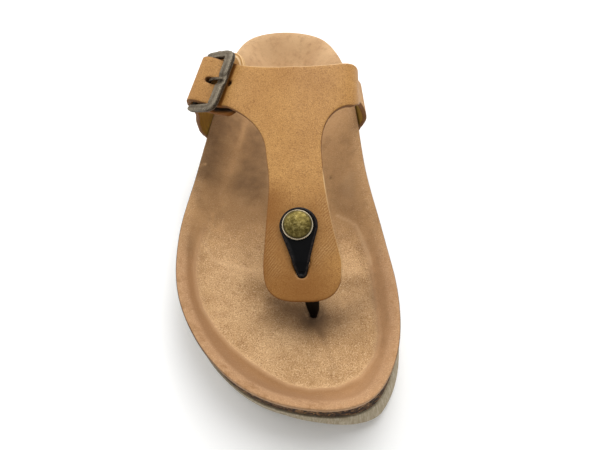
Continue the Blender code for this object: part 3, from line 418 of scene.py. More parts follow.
def soft_ramp(rise, rounding):
    """Zero below and equal to the rise above, with a rounded bend between."""
    bend = np.clip(rise + rounding, 0.0, None) ** 2 / (4.0 * rounding)
    return np.where(rise > rounding, rise, bend)


def middle_surface(girth, run, under=0.0):
    """Middle of the leather; under is how far a second layer lies beneath the first."""
    girth, run = np.broadcast_arrays(np.asarray(girth, float), np.asarray(run, float))
    medial = girth >= 0.0
    side = np.where(medial, 1.0, -1.0)
    shift = CREST_SKEW * np.clip(run - BUCKLE_RUN, -30.0, 20.0) * smooth(-girth, *CREST_START)
    out = -girth - shift
    reach = np.where(medial, np.interp(girth, *ARC_MEDIAL[:2]),
                     np.interp(out, *ARC_LATERAL[:2]) + shift * math.cos(CREST_SLOPE))
    drop = np.where(medial, np.interp(girth, *ARC_MEDIAL[::2]),
                    np.interp(out, *ARC_LATERAL[::2]) + shift * math.sin(CREST_SLOPE))
    slope = np.interp(run, RUNS, RUN_SLOPE)
    station = CROWN[1] - np.interp(run, RUNS, RUN_STATION) + drop * np.sin(slope)
    z = CROWN[2] - np.interp(run, RUNS, RUN_FALL) - drop * np.cos(slope)
    taper = np.where(medial, TAPER[0], TAPER[1])
    x = CROWN[0] + side * reach * (1.0 - taper * np.maximum(station - TAPER[2], 0.0))
    seat = wall_x(station, side, z) + side * (GAP + LEATHER / 2 + under)
    rim = edge_z(turn_of(station) * side)
    near_sole = smooth(rim + SEAT_START - z, 0.0, SEAT_EASE)
    free = side * mix(x, seat, near_sole)
    least = side * seat - SEAT_SLANT * soft_ramp(z - rim - SEAT_UPRIGHT, SEAT_ROUNDING)
    least -= SEAT_FREE * (1.0 - smooth(abs(girth), *SEAT_GIRTH))
    softness = SEAT_SOFTNESS * (1.0 - near_sole)
    return np.stack([side * (free + least + np.hypot(free - least, softness)) / 2, station, z], -1)


def offset(surface, girth, run, height):
    """Point a height over a surface, along its outward normal."""
    girth, run, height = np.broadcast_arrays(np.asarray(girth, float), run, height)
    across = surface(girth + PROBE, run) - surface(girth - PROBE, run)
    along = surface(girth, run + PROBE) - surface(girth, run - PROBE)
    return surface(girth, run) + unit(np.cross(along, across)) * height[..., None]


def strap_point(girth, run, height=0.0):
    return offset(middle_surface, girth, run, height)


def under_surface(girth, run):
    """Middle of the lateral strap, one layer below the T-strap."""
    return offset(lambda g, r: middle_surface(g, r, LAYER), girth, run, -LAYER)


print("the crown stands", round(float(strap_point(0.0, 0.0)[2]), 1), "mm up")

# %% [markdown]
# ## The buckle's own axes
#
# The buckle sits askew on the outer side. Its own axes make it easy to draw: p runs outwards
# along the strap's end, q along the bars and n away from the foot. The strap's end rises under
# the front bar, passes over the pivot bar and bends down, which a table of slopes describes.

# %% Buckle axes and the strap's end
FRONT_BAR_P = -9.1
PIVOT_P = 5.2
EAR_P = 8.8  # the frame's rounded corners beyond the pivot bar
BAR_Q = 14.6  # half the frame's length
BAR_THICK = 2.6
PIVOT_LIFT = 0.15  # extra room under the two bars
FRONT_LIFT = 0.7
BILLET_HALF = 12.2  # half the width of the strap's end
BILLET_START = -15.0
BILLET_END = 22.0
BILLET_TIP = 9.8  # length of its rounding
BILLET_ONTO = (-15.0, -9.5)  # where the strap's surface turns into the end's wave
WAVE_STEP = 0.1
BILLET_WAVE = table(
    "arc slope",
    (-12, 13), (-9.5, 13.5), (-6, 18), (-2.5, 34), (1.9, 34), (5.4, 8), (7.9, -25),
    (10.4, -44), (13.4, -46), (17.4, -44), (23.2, -52),
)


def pattern_to_buckle(girth, run):
    dg, dr = -np.asarray(girth) - BUCKLE_GIRTH, np.asarray(run) - BUCKLE_RUN
    c, s = math.cos(BUCKLE_SWEEP), math.sin(BUCKLE_SWEEP)
    return dg * c - dr * s, dg * s + dr * c


def buckle_to_pattern(p, q):
    c, s = math.cos(BUCKLE_SWEEP), math.sin(BUCKLE_SWEEP)
    return -(BUCKLE_GIRTH + p * c + q * s), BUCKLE_RUN - p * s + q * c


def buckle_axes():
    front_height = LEATHER / 2 + GAP + BAR_THICK / 2 + FRONT_LIFT
    pivot_height = -LAYER + LEATHER / 2 + GAP + BAR_THICK / 2 + PIVOT_LIFT
    front = strap_point(*buckle_to_pattern(FRONT_BAR_P, 0.0), front_height)
    pivot = strap_point(*buckle_to_pattern(PIVOT_P, 0.0), pivot_height)
    outward = unit(pivot - front)
    left, right = (strap_point(*buckle_to_pattern(0.0, q)) for q in (BAR_Q, -BAR_Q))
    bars = unit(left - right - outward * ((left - right) @ outward))
    return pivot - PIVOT_P * outward, outward, bars, np.cross(outward, bars)


BUCKLE_CENTRE, BUCKLE_P, BUCKLE_Q, BUCKLE_N = buckle_axes()


def buckle_point(p, q, n):
    p, q, n = np.broadcast_arrays(np.asarray(p, float), q, n)
    return (BUCKLE_CENTRE + p[..., None] * BUCKLE_P + q[..., None] * BUCKLE_Q
            + n[..., None] * BUCKLE_N)


def wave_table():
    """Places p and n of the strap's end against the length along it."""
    arc = np.arange(BILLET_WAVE["arc"][0], BILLET_WAVE["arc"][-1], WAVE_STEP)
    slope = np.radians(column(BILLET_WAVE, "arc", "slope")(arc))
    start = strap_point(*buckle_to_pattern(arc[0], 0.0)) - BUCKLE_CENTRE
    return (arc, summed(np.cos(slope) * WAVE_STEP) + start @ BUCKLE_P,
            summed(np.sin(slope) * WAVE_STEP) + start @ BUCKLE_N)


WAVE = wave_table()


def t_strap_surface(girth, run):
    """Middle of the T-strap: the strap's surface, and the end's wave over the pivot bar."""
    p, q = pattern_to_buckle(girth, run)
    wave = buckle_point(np.interp(p, *WAVE[:2]), q, np.interp(p, *WAVE[::2]))
    onto = smooth(p, *BILLET_ONTO) * (np.asarray(girth) < 0.0)
    return mix(middle_surface(girth, run), wave, onto[..., None])


print("the buckle's middle, millimetres:", np.round(BUCKLE_CENTRE, 1))

# %% [markdown]
# ## From arrays to Blender meshes
#
# Each piece is worked out as an array of places and handed to Blender in one call. A mesh made
# this way has its object at the origin. It also carries a flat map of the pattern and a few
# measured values for each point, such as the distance from the cut edge, for its finish to use.

# %% Mesh maker
def to_metres(places):
    return (np.asarray(places, float) - [CENTRE_X, LENGTH / 2, 0.0]) * MM


def new_mesh(name, places, faces=()):
    mesh = bpy.data.meshes.new(name)
    mesh.from_pydata(to_metres(places).tolist(), [], faces)
    return mesh


def new_object(name, data):
    made = bpy.data.objects.new(name, data)
    bpy.context.scene.collection.objects.link(made)
    return made


def new_piece(name, mesh, node=None):
    """Object that rides on the sandal's only body and may stand for one of its solids."""
    piece = new_object(name, mesh)
    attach(piece, "root")
    if node:
        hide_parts(node)
    print(f"{name}: {len(mesh.polygons)} faces")
    return piece


def make_piece(name, places, faces, uv, fields, node=None):
    """Piece from places in millimetres; uv and fields hold a value for each place."""
    mesh = new_mesh(name, places, faces)
    shell = bmesh.new()
    shell.from_mesh(mesh)
    bmesh.ops.recalc_face_normals(shell, faces=shell.faces)
    shell.to_mesh(mesh)
    shell.free()
    mesh.polygons.foreach_set("use_smooth", np.ones(len(mesh.polygons), bool))
    if uv is not None:
        corners = np.zeros(len(mesh.loops), np.int32)
        mesh.loops.foreach_get("vertex_index", corners)
        layer = mesh.uv_layers.new(name="pattern")
        layer.data.foreach_set("uv", (np.asarray(uv, float)[corners] * MM).ravel())
    for key, values in fields.items():
        attribute = mesh.attributes.new(key, "FLOAT", "POINT")
        attribute.data.foreach_set("value", np.asarray(values, np.float32))
    return new_piece(name, mesh, node)


def bands(loops):
    """Four-sided faces between each closed loop of points and the next."""
    faces = []
    for upper, lower in zip(loops, loops[1:]):
        faces += np.stack([upper, np.roll(upper, -1), np.roll(lower, -1), lower], -1).tolist()
    return faces

# %% [markdown]
# ## Layers of the sole
#
# Lining, cork and foam are all closed layers. Rings of points run round the outline from the top
# edge to the bottom edge, and rows of points across close the top and the bottom.

# %% Layer maker
SIDE_STEPS = 300
CROWDING = 0.3  # how much the columns crowd towards the rim


def loop_turns():
    half = np.linspace(0.0, math.pi, SIDE_STEPS + 1)
    return np.concatenate([half, -half[1:-1][::-1]])


TURNS = loop_turns()
ARC_LENGTH = length_along(np.transpose(outline(TURNS)[:2]))


def sheet_faces(loop, inner, columns):
    """Faces over a closed outline, in rows from its lateral to its medial side."""
    rows = [[loop[-i], *row, loop[i]] for i, row in enumerate(inner.reshape(-1, columns - 1), 1)]
    faces = []
    for tip, row in ((loop[0], rows[0]), (loop[SIDE_STEPS], rows[-1])):
        faces += [(tip, a, b) for a, b in zip(row, row[1:])]
    for front, back in zip(rows, rows[1:]):
        faces += zip(front, front[1:], back[1:], back)
    return faces


def sheet_points(inset, columns):
    shares = np.linspace(0.0, 1.0, columns + 1)[1:-1]
    shares = mix(shares, smooth(shares), CROWDING)
    i = np.arange(1, SIDE_STEPS)
    return [mix(side[-i, None], side[i, None], shares).ravel() for side in moved_in(TURNS, inset)]


def make_layer(name, top, bottom, rings, node, fields=None):
    """Closed layer; top and bottom are (inset, height function, columns), rings (inset, height)."""
    parts, flat = [], []
    for inset, height in [top[:2], *rings, bottom[:2]]:
        x, station = moved_in(TURNS, inset)
        z = height(x, station) if callable(height) else height
        parts.append(np.stack([x, station, z + 0.0 * x], -1))
        flat.append(np.stack([ARC_LENGTH, parts[-1][:, 2]], -1))
    loops = np.arange(len(parts) * len(TURNS)).reshape(len(parts), -1)
    faces = bands(loops)
    for (inset, height, columns), loop in ((top, loops[0]), (bottom, loops[-1])):
        x, station = sheet_points(inset, columns)
        faces += sheet_faces(loop, np.arange(len(x)) + sum(map(len, parts)), columns)
        parts.append(np.stack([x, station, height(x, station)], -1))
        flat.append(np.stack([x, station], -1))
    places = np.concatenate(parts)
    values = fields(places[:, 0], places[:, 1]) if fields else {}
    return make_piece(name, places, faces, np.concatenate(flat), values, node)


print("once round the footbed is", round(float(ARC_LENGTH[-1])), "mm")

# %% [markdown]
# ### The suede lining
#
# The lining is a split of leather, glued over the cork with its rough side up. Its edge is cut
# flush with the cork after moulding, so it shows as a thin line with a slightly broken corner.

# %% Lining
CORNER = 0.45  # rounding of the lining's upper corner
EDGE_RINGS = ((0.12, 0.08), (0.0, CORNER), (0.0, LINER_THICK / 2))  # inset, drop from the rim
WAIST = (62.0, 100.0)  # stations where the bed turns paler
# stations where the bed turns paler towards the heel, a painted light
HEEL = (195.0, 240.0)
MEDIAL_SIDE = (5.0, 38.0)
MARGIN = (3.4, 5.6)  # distances from the rim of the bare margin's inner edge
SHADED_BRINK = (0.1, 0.42)  # and of a line of painted shade on the cut, for the cork's shaded side
SHADED_BRINK_ENDS = ((6.0, 26.0), (130.0, 160.0))
STEM_HIGHLIGHT_RING = (2.9, 0.5)  # radius and width of the painted highlight ring round the post's foot
PRESS_RUB = (0.4, 0.8)  # distance from the press line, and width, of the line rubbed beside it
STAIN_AND_SHADE = ((0.9, 5.0), (0.25, 13.0))  # strength and width of the grime and painted shadow round the post's foot
STAIN_AND_SHADE_SHIFT = 1.0  # how far it lies towards the toe
STAIN_AND_SHADE_SQUEEZE = 0.8  # below 1 it is drawn out along the sole
# Marks on the lining: a few are real stains, a dark spot and a light nick. Most are painted light
# and shade: the shadows of the straps and of the post, shade and light on the ridges by the toes,
# and a light streak beside the straps' shadow.
BED_STAINS_LIGHT_AND_SHADE = [  # width, tone (+ lighter, - darker) and line of each mark
    (1.6, 0.34, [(-25.7, 177), (-27.2, 159), (-30, 143.8), (-33.2, 127.4), (-35.4, 116.6)]),
    (12, -0.64, [(-20, 166), (-16, 140.5), (-19, 122)]),
    (3.5, -0.22, [(-22.9, 142), (-27, 125)]),
    (9, -0.66, [(-38, 176), (-42, 150), (-44, 128)]),
    (7.5, -0.66, [(-2, 48.5), (6, 45), (12, 42)]),
    (6, -0.30, [(17.5, 43.5), (23, 45)]),
    (6, -0.20, [(-44, 104), (-47, 80)]),
    (9, -0.22, [(33, 36), (36.5, 56)]),
    (0.8, 0.35, [(-37.7, 103.4), (-37.9, 95), (-39.2, 85.8)]),
    (1.6, 0.28, [(-39.5, 84.5), (-36.4, 78.4), (-31.9, 73.5), (-25.9, 71), (-19.6, 70.4)]),
    (4, -0.22, [(-17, 60), (-9.8, 55.1), (-3, 51), (6, 49)]),
    (3.5, 0.18, [(-14, 50), (-3.7, 48)]),
    (0.9, 0.40, [(26.7, 104.2), (32.1, 99.3), (35.7, 94.7), (37.6, 87.6), (39.3, 79.3),
                 (40.7, 70.3)]),
    (5, -0.16, [(45.6, 150), (45.8, 128.3)]),
    (6, 0.12, [(34, 122), (37, 104)]),
    (4, -0.18, [(39.7, 131.5), (36.6, 140)]),
    (5, 0.16, [(31, 112), (33, 124)]),
    (4, -0.20, [(46.4, 115.3), (47, 100), (46, 88)]),
    (5.5, -0.26, [(16.7, 36.3), (24.6, 40.2), (31.6, 47.5), (38.7, 52.5)]),
    (4.5, -0.22, [(30, 62), (39, 64)]),
    (1.4, -0.18, [(15.2, 38), (18.2, 30.5), (19.9, 23.4)]),
    (1.6, 0.14, [(12.6, 38), (15, 30), (17, 23)]),
    (2, -0.24, [(11.5, 25.6), (12.5, 25)]),
    (2.2, -0.28, [(19.3, 18.9), (21, 20)]),
    (1.2, -0.22, [(13.4, 21.1), (13.6, 20.6)]),
    (3.2, -0.24, [(-47.3, 115.1), (-44, 108)]),
    (5, -0.26, [(-31.9, 105.5), (-36, 100)]),
    (2.4, -0.22, [(-46, 84), (-44.5, 74)]),
    (0.8, -1.20, [(24.2, 128.8), (24.3, 128.8)]),
    (0.5, 1.30, [(-46.8, 132.9), (-44.6, 133.4)]),
]


def marked(x, y, marks):
    """Tone that a list of marks leaves at a place."""
    return sum(tone * bump(line_distance(x, y, line), wide) for wide, tone, line in marks)


def lining_fields(x, station):
    """Measures of the bed that its finish uses, each from 0 to 1, and the tone of stains and
    painted light and shade.
    """
    far, within, fade = press_step(x, station)
    foot = np.hypot(x - STEM_FOOT[0], (station - STEM_FOOT[1] + STAIN_AND_SHADE_SHIFT) * STAIN_AND_SHADE_SQUEEZE)
    # painted highlight ring round the post's foot, on its toe side
    ring = bump(np.hypot(x - STEM_FOOT[0], station - STEM_FOOT[1]) - STEM_HIGHLIGHT_RING[0], STEM_HIGHLIGHT_RING[1])
    from_rim = rim_distance(x, station)[0]
    return {
        "inner": within * fade, "crease": fade * bump(far - PRESS_RUB[0], PRESS_RUB[1]),
        # tone: real stains, painted light and shade from the marks, and the painted highlight ring
        "tone": marked(x, station, BED_STAINS_LIGHT_AND_SHADE) + ring * (station < STEM_FOOT[1]),
        "grime": sum(strength * bump(foot, wide) for strength, wide in STAIN_AND_SHADE),
        "waist": smooth(station, *WAIST), "heel": smooth(station, *HEEL),
        "medial": smooth(x, *MEDIAL_SIDE), "margin": 1.0 - smooth(from_rim, *MARGIN),
        "brink": (1.0 - smooth(from_rim, *SHADED_BRINK)) * (1.0 - smooth(station, *SHADED_BRINK_ENDS[1]))
        * smooth(station, *SHADED_BRINK_ENDS[0]),
    }


lining = make_layer(
    "lining", (CORNER, lambda x, station: bed_height(x, station, fine=True), 140),
    (0.0, lambda x, station: bed_height(x, station) - LINER_THICK, 20),
    [(inset, edge_z(TURNS) - drop) for inset, drop in EDGE_RINGS],
    node="insole", fields=lining_fields)

# %% [markdown]
# ### The cork
#
# Ground cork and latex are pressed into one block. Its side is sanded, which tears out a crumb
# here and there, so the side is a little uneven. A sum of waves of different lengths gives that
# unevenness without any random numbers.

# %% Cork body
SEAM = GAP * 0.3  # what is left open of a seam
CRUMB = (0.1, 1.3)  # depth and size of the side's unevenness
CORK_BACK = 0.12  # how far the side stays behind the lining's edge
CORK_HIGH = 14.0  # about the height of the side
CORK_SHARES = np.linspace(0.0, 0.97, 13)  # where its rings lie, from its top to just over its foot
CORK_LIP = (0.5, 0.4)  # how far inside the side the top and the underside begin


def rough(along, up, size):
    """Uneven height between -1 and 1 over a side, from crossed waves."""
    wave = np.sin(along * 1.9 / size + 2.0 * np.sin(up * 1.3 / size))
    wave += np.sin(along * 3.1 / size + 1.7 - 2.3 * up / size)
    return (wave + np.sin(up * 3.7 / size + 1.4 * np.sin(along * 1.1 / size))) / 3.0


def cork_ring(share):
    """Ring on the straight line from the rim to the cork's lower edge."""
    def height(x, station):
        along = outline(TURNS)[1]
        return mix(edge_z(TURNS) - LINER_THICK - SEAM, outsole_top(along), share)
    wear = CRUMB[0] * rough(ARC_LENGTH, share * CORK_HIGH, CRUMB[1]) * math.sin(math.pi * share)
    return cork_inset(TURNS) * share + CORK_BACK - wear, height


CORK_RINGS = [cork_ring(share) for share in CORK_SHARES]
cork = make_layer(
    "cork_body",
    (CORK_RINGS[0][0] + CORK_LIP[0],
     lambda x, station: bed_height(x, station) - LINER_THICK - SEAM, 14),
    (cork_inset(TURNS) + CORK_LIP[1], lambda x, station: outsole_top(station) + SEAM, 8),
    CORK_RINGS, node="midsole")

# %% [markdown]
# ### The foam outsole
#
# The outsole is cut from a sheet of foam rubber. Its side is ground together with the cork,
# which leaves fine upright streaks, and its lower corner is broken a little.

# %% Outsole body
TREAD_DEPTH = 1.1
TREAD_BORDER = (8.5, 10.0)  # distances from the rim between which the tread starts
SOLE_SHARES = (0.02, 0.12, 0.28, 0.45, 0.62, 0.78, 0.88)  # where the side's rings lie
STREAK_DEPTH = 0.06
STREAKS = STREAK_DEPTH * np.sin(ARC_LENGTH * 2.7 + 2.0 * np.sin(ARC_LENGTH * 0.31))  # uneven waves


def sole_ring(share):
    return (sole_inset(TURNS, share) - STREAKS * math.sin(math.pi * share),
            lambda x, station: mix(outsole_top(station), ground(station), share))


def sole_bottom(x, station):
    """The foam's underside, raised inside a border so that the bars stand out below it."""
    return ground(station) + TREAD_DEPTH * smooth(rim_distance(x, station)[0], *TREAD_BORDER)


SOLE_RINGS = [sole_ring(share) for share in SOLE_SHARES]
SOLE_RINGS.append((sole_inset(TURNS, 0.95) + 0.15, lambda x, station: ground(station) + 0.45))
SOLE_RINGS.append((sole_inset(TURNS, 1.0) + 0.45, lambda x, station: ground(station) + 0.12))
outsole = make_layer(
    "outsole_body", (sole_inset(TURNS, 0.0) + 0.3, lambda x, station: outsole_top(station), 8),
    (sole_inset(TURNS, 1.0) + 0.9, sole_bottom, 64), SOLE_RINGS,
    node="outsole")

# %% [markdown]
# ## Flat patterns of the straps
#
# Each strap is drawn flat first, as a closed outline with holes, and filled with small
# triangles. The outline follows the maker's pattern: the arch over the instep, the tongue down to
# the toes, and the fillets where they meet.

# %% Outlines
MEDIAL_FRONT = table(
    "girth run",
    (24.3, 19), (32.2, 13.5), (42, 6.4), (52.7, -1), (62, -2.6), (74, -1), (92, 1),
)
MEDIAL_BACK = table(
    "girth run",
    (0, 1.3), (13, -0.4), (24, -4.2), (34, -7.6), (44, -12.5), (54, -17.5),
    (64, -21.5), (76, -24.5), (92, -26),
)
LATERAL_BACK = table(
    "girth run",
    (0, 1.3), (10, 0.5), (22, -2.8), (30, -6.2), (37.5, -10.4),
)
TONGUE = table(
    "run left right",
    (43, -15.8, 8.6), (57, -14.1, 9.7), (77, -14.9, 13), (92, -15.8, 16.6),
)
TONGUE_TIP = 108.6
FILLET_MEDIAL = ((8.7, 43.0), (8.7, 23.5), (24.3, 19.0))  # start, pull and end of a rounding
FILLET_LATERAL = ((-15.8, 43.0), (-17.0, 29.0))
LATERAL_STRAP = table(
    "girth front back",
    (39, 17.9, -17.9), (46, 15, -21.2), (57, 10.2, -24), (70, 5.5, -26.5),
    (82, 3, -28), (104, 2.5, -29),
)
BASE_CLEARANCE = 0.15
TAB_END = 29.3  # girth of the tab's tip
CAP_GIRTH = -1.5
CAP_RUN = 77.8
HEAD_CENTRE = (-1.0, 77.8)  # girth and run of the post's wide and narrow ends
HEAD_RADIUS = 7.6
HEAD_TIP = (0.1, 97.0)
HEAD_TIP_RADIUS = 2.1
FLANK_HOLLOW = 0.06  # how far the teardrop's sides are drawn in
SLOT_RUN = 92.5  # middle of the slot's wide end
SLOT_ROOM = 0.12  # the leather hugs the post's head in the slot
PRONG_HOLE = (-2.0, 3.9, 1.5)  # place p, and half sizes along p and q
SPARE_HOLES = (-11.6, 12.5)
SPARE_HOLE_RADIUS = 1.5
RING_WINDOW = (2.7, 2.4)  # half sizes of the window for the prong's eye


# %% Drawing helpers
BASE_GIRTHS = (40.0, 128.0)  # girths between which a strap's lower edge is looked for
HALVINGS = 30
BASE_GUESS = 90.0
TRIES = 12


def spaced(points, spacing):
    """Polyline with even steps, without its end point, so that stretches join into a loop."""
    points = np.asarray(points, float)
    length = length_along(points)
    count = max(int(round(length[-1] / spacing)), 1)
    places = np.linspace(0.0, length[-1], count + 1)[:-1]
    return np.stack([np.interp(places, length, values) for values in points.T], -1)


def bezier(a, b, c):
    """Curve from a to c that is drawn towards b."""
    u = np.linspace(0.0, 1.0, 40)[:, None]
    return (1 - u) ** 2 * np.array(a) + 2 * u * (1 - u) * np.array(b) + u * u * np.array(c)


def table_line(rows, name, start, end, side=1.0):
    """Line of a pattern's edge between two girths."""
    girth = np.linspace(start, end, 80)
    return np.stack([side * girth, column(rows, "girth", name)(girth)], -1)


def superellipse(exponent, start, end, count=90):
    """Cosine and sine of a squarish circle: an exponent of 2 is round, a larger one squarer."""
    angle = np.linspace(start, end, count)
    c, s = np.cos(angle), np.sin(angle)
    return np.sign(c) * abs(c) ** (2 / exponent), np.sign(s) * abs(s) ** (2 / exponent)


def base_girth(run, side, under):
    """Girth at which a strap reaches the outsole's upper face."""
    near, far = BASE_GIRTHS
    for _ in range(HALVINGS):
        girth = (near + far) / 2
        _, station, z = middle_surface(side * girth, run, under)
        above = z > outsole_top(station) + GAP + BASE_CLEARANCE
        near, far = (girth, far) if above else (near, girth)
    return (near + far) / 2


def base_line(front, back, side, under):
    """The strap's lower edge, from its front to its back corner."""
    def corner(rows, name):
        edge, girth = column(rows, "girth", name), BASE_GUESS
        for _ in range(TRIES):
            girth = base_girth(float(edge(girth)), side, under)
        return float(edge(girth))

    runs = np.linspace(corner(*front), corner(*back), 16)
    return np.array([(side * base_girth(run, side, under), run) for run in runs])


# %% Teardrops
def teardrop(start, start_radius, tip, tip_radius, spacing):
    """Loop round a large and a small circle, with slightly hollow flanks that touch both."""
    start, tip = np.array(start), np.array(tip)
    axis = tip - start
    flank = math.acos((start_radius - tip_radius) / math.hypot(*axis))
    arcs = []
    for centre, radius, first, last in ((start, start_radius, flank, math.tau - flank),
                                        (tip, tip_radius, -flank, flank)):
        angle = math.atan2(axis[1], axis[0]) + np.linspace(first, last, 60)
        arcs.append(centre + radius * np.stack([np.cos(angle), np.sin(angle)], -1))
    flanks = []
    for ahead, behind in (arcs, arcs[::-1]):
        hollow = mix((ahead[-1] + behind[0]) / 2, (start + tip) / 2, FLANK_HOLLOW)
        flanks.append(bezier(ahead[-1], hollow, behind[0])[1:-1])
    return spaced(np.concatenate([arcs[0], flanks[0], arcs[1], flanks[1], arcs[0][:1]]), spacing)


def slot_pattern(spacing):
    """Hole for the stem: it follows the head's narrow end and is hidden under the wide one."""
    start, tip = np.array(HEAD_CENTRE), np.array(HEAD_TIP)
    share = (SLOT_RUN - start[1]) / (tip[1] - start[1])
    wide = mix(HEAD_RADIUS, HEAD_TIP_RADIUS, share) + SLOT_ROOM
    return teardrop(mix(start, tip, share), wide, tip, HEAD_TIP_RADIUS + SLOT_ROOM, spacing)


# %% T-strap pattern
def tongue_outline():
    run = np.linspace(TONGUE["run"][0], TONGUE["run"][-1], 40)
    right = np.stack([column(TONGUE, "run", "right")(run), run], -1)
    left = np.stack([column(TONGUE, "run", "left")(run), run], -1)
    middle, half = (right[-1] + left[-1]) / 2, (right[-1, 0] - left[-1, 0]) / 2
    c, s = superellipse(3.0, 0.0, math.pi)
    tip = np.stack([middle[0] + half * c, middle[1] + (TONGUE_TIP - middle[1]) * s], -1)
    return np.concatenate([right[:-1], tip, left[::-1][1:]])


def billet_outline():
    c, s = superellipse(2.4, math.pi / 2, -math.pi / 2)
    p = np.concatenate([[BILLET_START], BILLET_END + BILLET_TIP * (c - 1.0)])
    q = np.concatenate([[BILLET_HALF], BILLET_HALF * s])
    return np.stack(buckle_to_pattern(p, q), -1)


def billet_hole(p, half_p, half_q, count, exponent=2.0):
    c, s = superellipse(exponent, 0.0, math.tau, count + 1)
    return np.stack(buckle_to_pattern(p + half_p * c[:-1], half_q * s[:-1]), -1)


def t_strap_pattern(spacing):
    medial_base = base_line((MEDIAL_FRONT, "run"), (MEDIAL_BACK, "run"), 1.0, 0.0)
    billet = billet_outline()
    neck = (-LATERAL_BACK["girth"][-1], LATERAL_BACK["run"][-1])
    stretches = [
        table_line(MEDIAL_FRONT, "run", medial_base[0, 0], MEDIAL_FRONT["girth"][0]),
        bezier(*FILLET_MEDIAL[::-1]),
        tongue_outline(),
        bezier(*FILLET_LATERAL, billet[0]),
        billet,
        np.stack([billet[-1], neck]),
        table_line(LATERAL_BACK, "run", -neck[0], 0.0, -1.0),
        table_line(MEDIAL_BACK, "run", 0.0, medial_base[-1, 0]),
        medial_base[::-1],
    ]
    loop = np.concatenate([spaced(line, spacing) for line in stretches])
    holes = [slot_pattern(0.6 * spacing), billet_hole(*PRONG_HOLE, 28, 3.0)]
    holes += [billet_hole(p, SPARE_HOLE_RADIUS, SPARE_HOLE_RADIUS, 24) for p in SPARE_HOLES]
    return loop, holes


# %% Lateral strap pattern
def lateral_strap_pattern(spacing):
    base = base_line((LATERAL_STRAP, "front"), (LATERAL_STRAP, "back"), -1.0, LAYER)
    start = LATERAL_STRAP["girth"][0]
    front, back = LATERAL_STRAP["front"][0], LATERAL_STRAP["back"][0]
    c, s = superellipse(2.5, -math.pi / 2, math.pi / 2)
    tab = np.stack([(start - TAB_END) * c - start, (front + back) / 2 + (front - back) / 2 * s], -1)
    stretches = [
        tab,
        table_line(LATERAL_STRAP, "front", start, -base[0, 0], -1.0),
        base,
        table_line(LATERAL_STRAP, "back", -base[-1, 0], start, -1.0),
    ]
    loop = np.concatenate([spaced(line, spacing) for line in stretches])
    return loop, [billet_hole(PIVOT_P, *RING_WINDOW, 28, 4.0)]


print("T-strap outline points:", len(t_strap_pattern(1.0)[0]))

# %% [markdown]
# ### Cutting the leather
#
# A cut edge isn't a knife edge: the grain side is rounded over and the flesh side is nearly
# square. The pattern is filled inside a slightly smaller outline, and four rings of points carry
# the faces round the edge from the grain side to the flesh side.

# %% Leather maker
CELL = 1.15  # size of the triangles
ROW_PITCH = 0.87  # height of a triangle as a share of its side
FOLDED = [  # width, strength and line of the places with fine folds
    (4, 1, [(-13, 80), (-14, 90), (-11, 96)]),
    (3.4, 0.9, [(10, 68), (12.5, 78), (12, 86)]),
    (2.6, 0.8, [(6, 93), (8.5, 88)]),
]
EDGE_SIDE = 0.6  # side is 1 on the grain and -1 on the flesh, and between these on the cut
CREASE_ROOM = (0.3, 1.2)  # distances from the cut edge between which the relief starts
ROUND = (  # inset from the edge, height as a share of the thickness
    (0.42, 0.5), (0.12, 0.41), (0, 0.27), (0, -0.36), (0.1, -0.47), (0.3, -0.5),
)


def shrunk(loop, inset):
    """The loop moved into the leather; it is drawn with the leather on one known side."""
    tangent = unit(np.roll(loop, -1, 0) - np.roll(loop, 1, 0))
    return loop + inset * np.stack([-tangent[:, 1], tangent[:, 0]], -1)


def with_leather_left(loop, hole):
    """The loop turned so that the leather is on its left."""
    area = np.sum(loop[:, 0] * np.roll(loop[:, 1], -1) - np.roll(loop[:, 0], -1) * loop[:, 1])
    return loop if (area > 0) != hole else loop[::-1]


def fill(loops, cell):
    """Places and triangles inside the first loop and outside the others."""
    low, high = loops[0].min(0), loops[0].max(0)
    grid = np.stack(np.meshgrid(np.arange(low[0], high[0], cell),
                                np.arange(low[1], high[1], cell * ROW_PITCH)), -1)
    grid[1::2, :, 0] += cell / 2
    grid = grid.reshape(-1, 2)
    keep = inside(grid, loops[0])
    for i, loop in enumerate(loops):
        keep &= line_distance(*grid.T, loop, True) > 0.5 * cell
        if i:
            keep &= ~inside(grid, loop)
    points = np.concatenate([*loops, grid[keep]])
    edges, start = [], 0
    for loop in loops:
        edges += [(start + k, start + (k + 1) % len(loop)) for k in range(len(loop))]
        start += len(loop)
    result = delaunay_2d_cdt([Vector(p) for p in points], edges, [], 0, 1e-6)
    places, faces = np.array([tuple(p) for p in result[0]]), np.array(result[2])
    middles = places[faces].mean(1)
    solid = inside(middles, loops[0])
    for loop in loops[1:]:
        solid &= ~inside(middles, loop)
    return places, faces[solid]


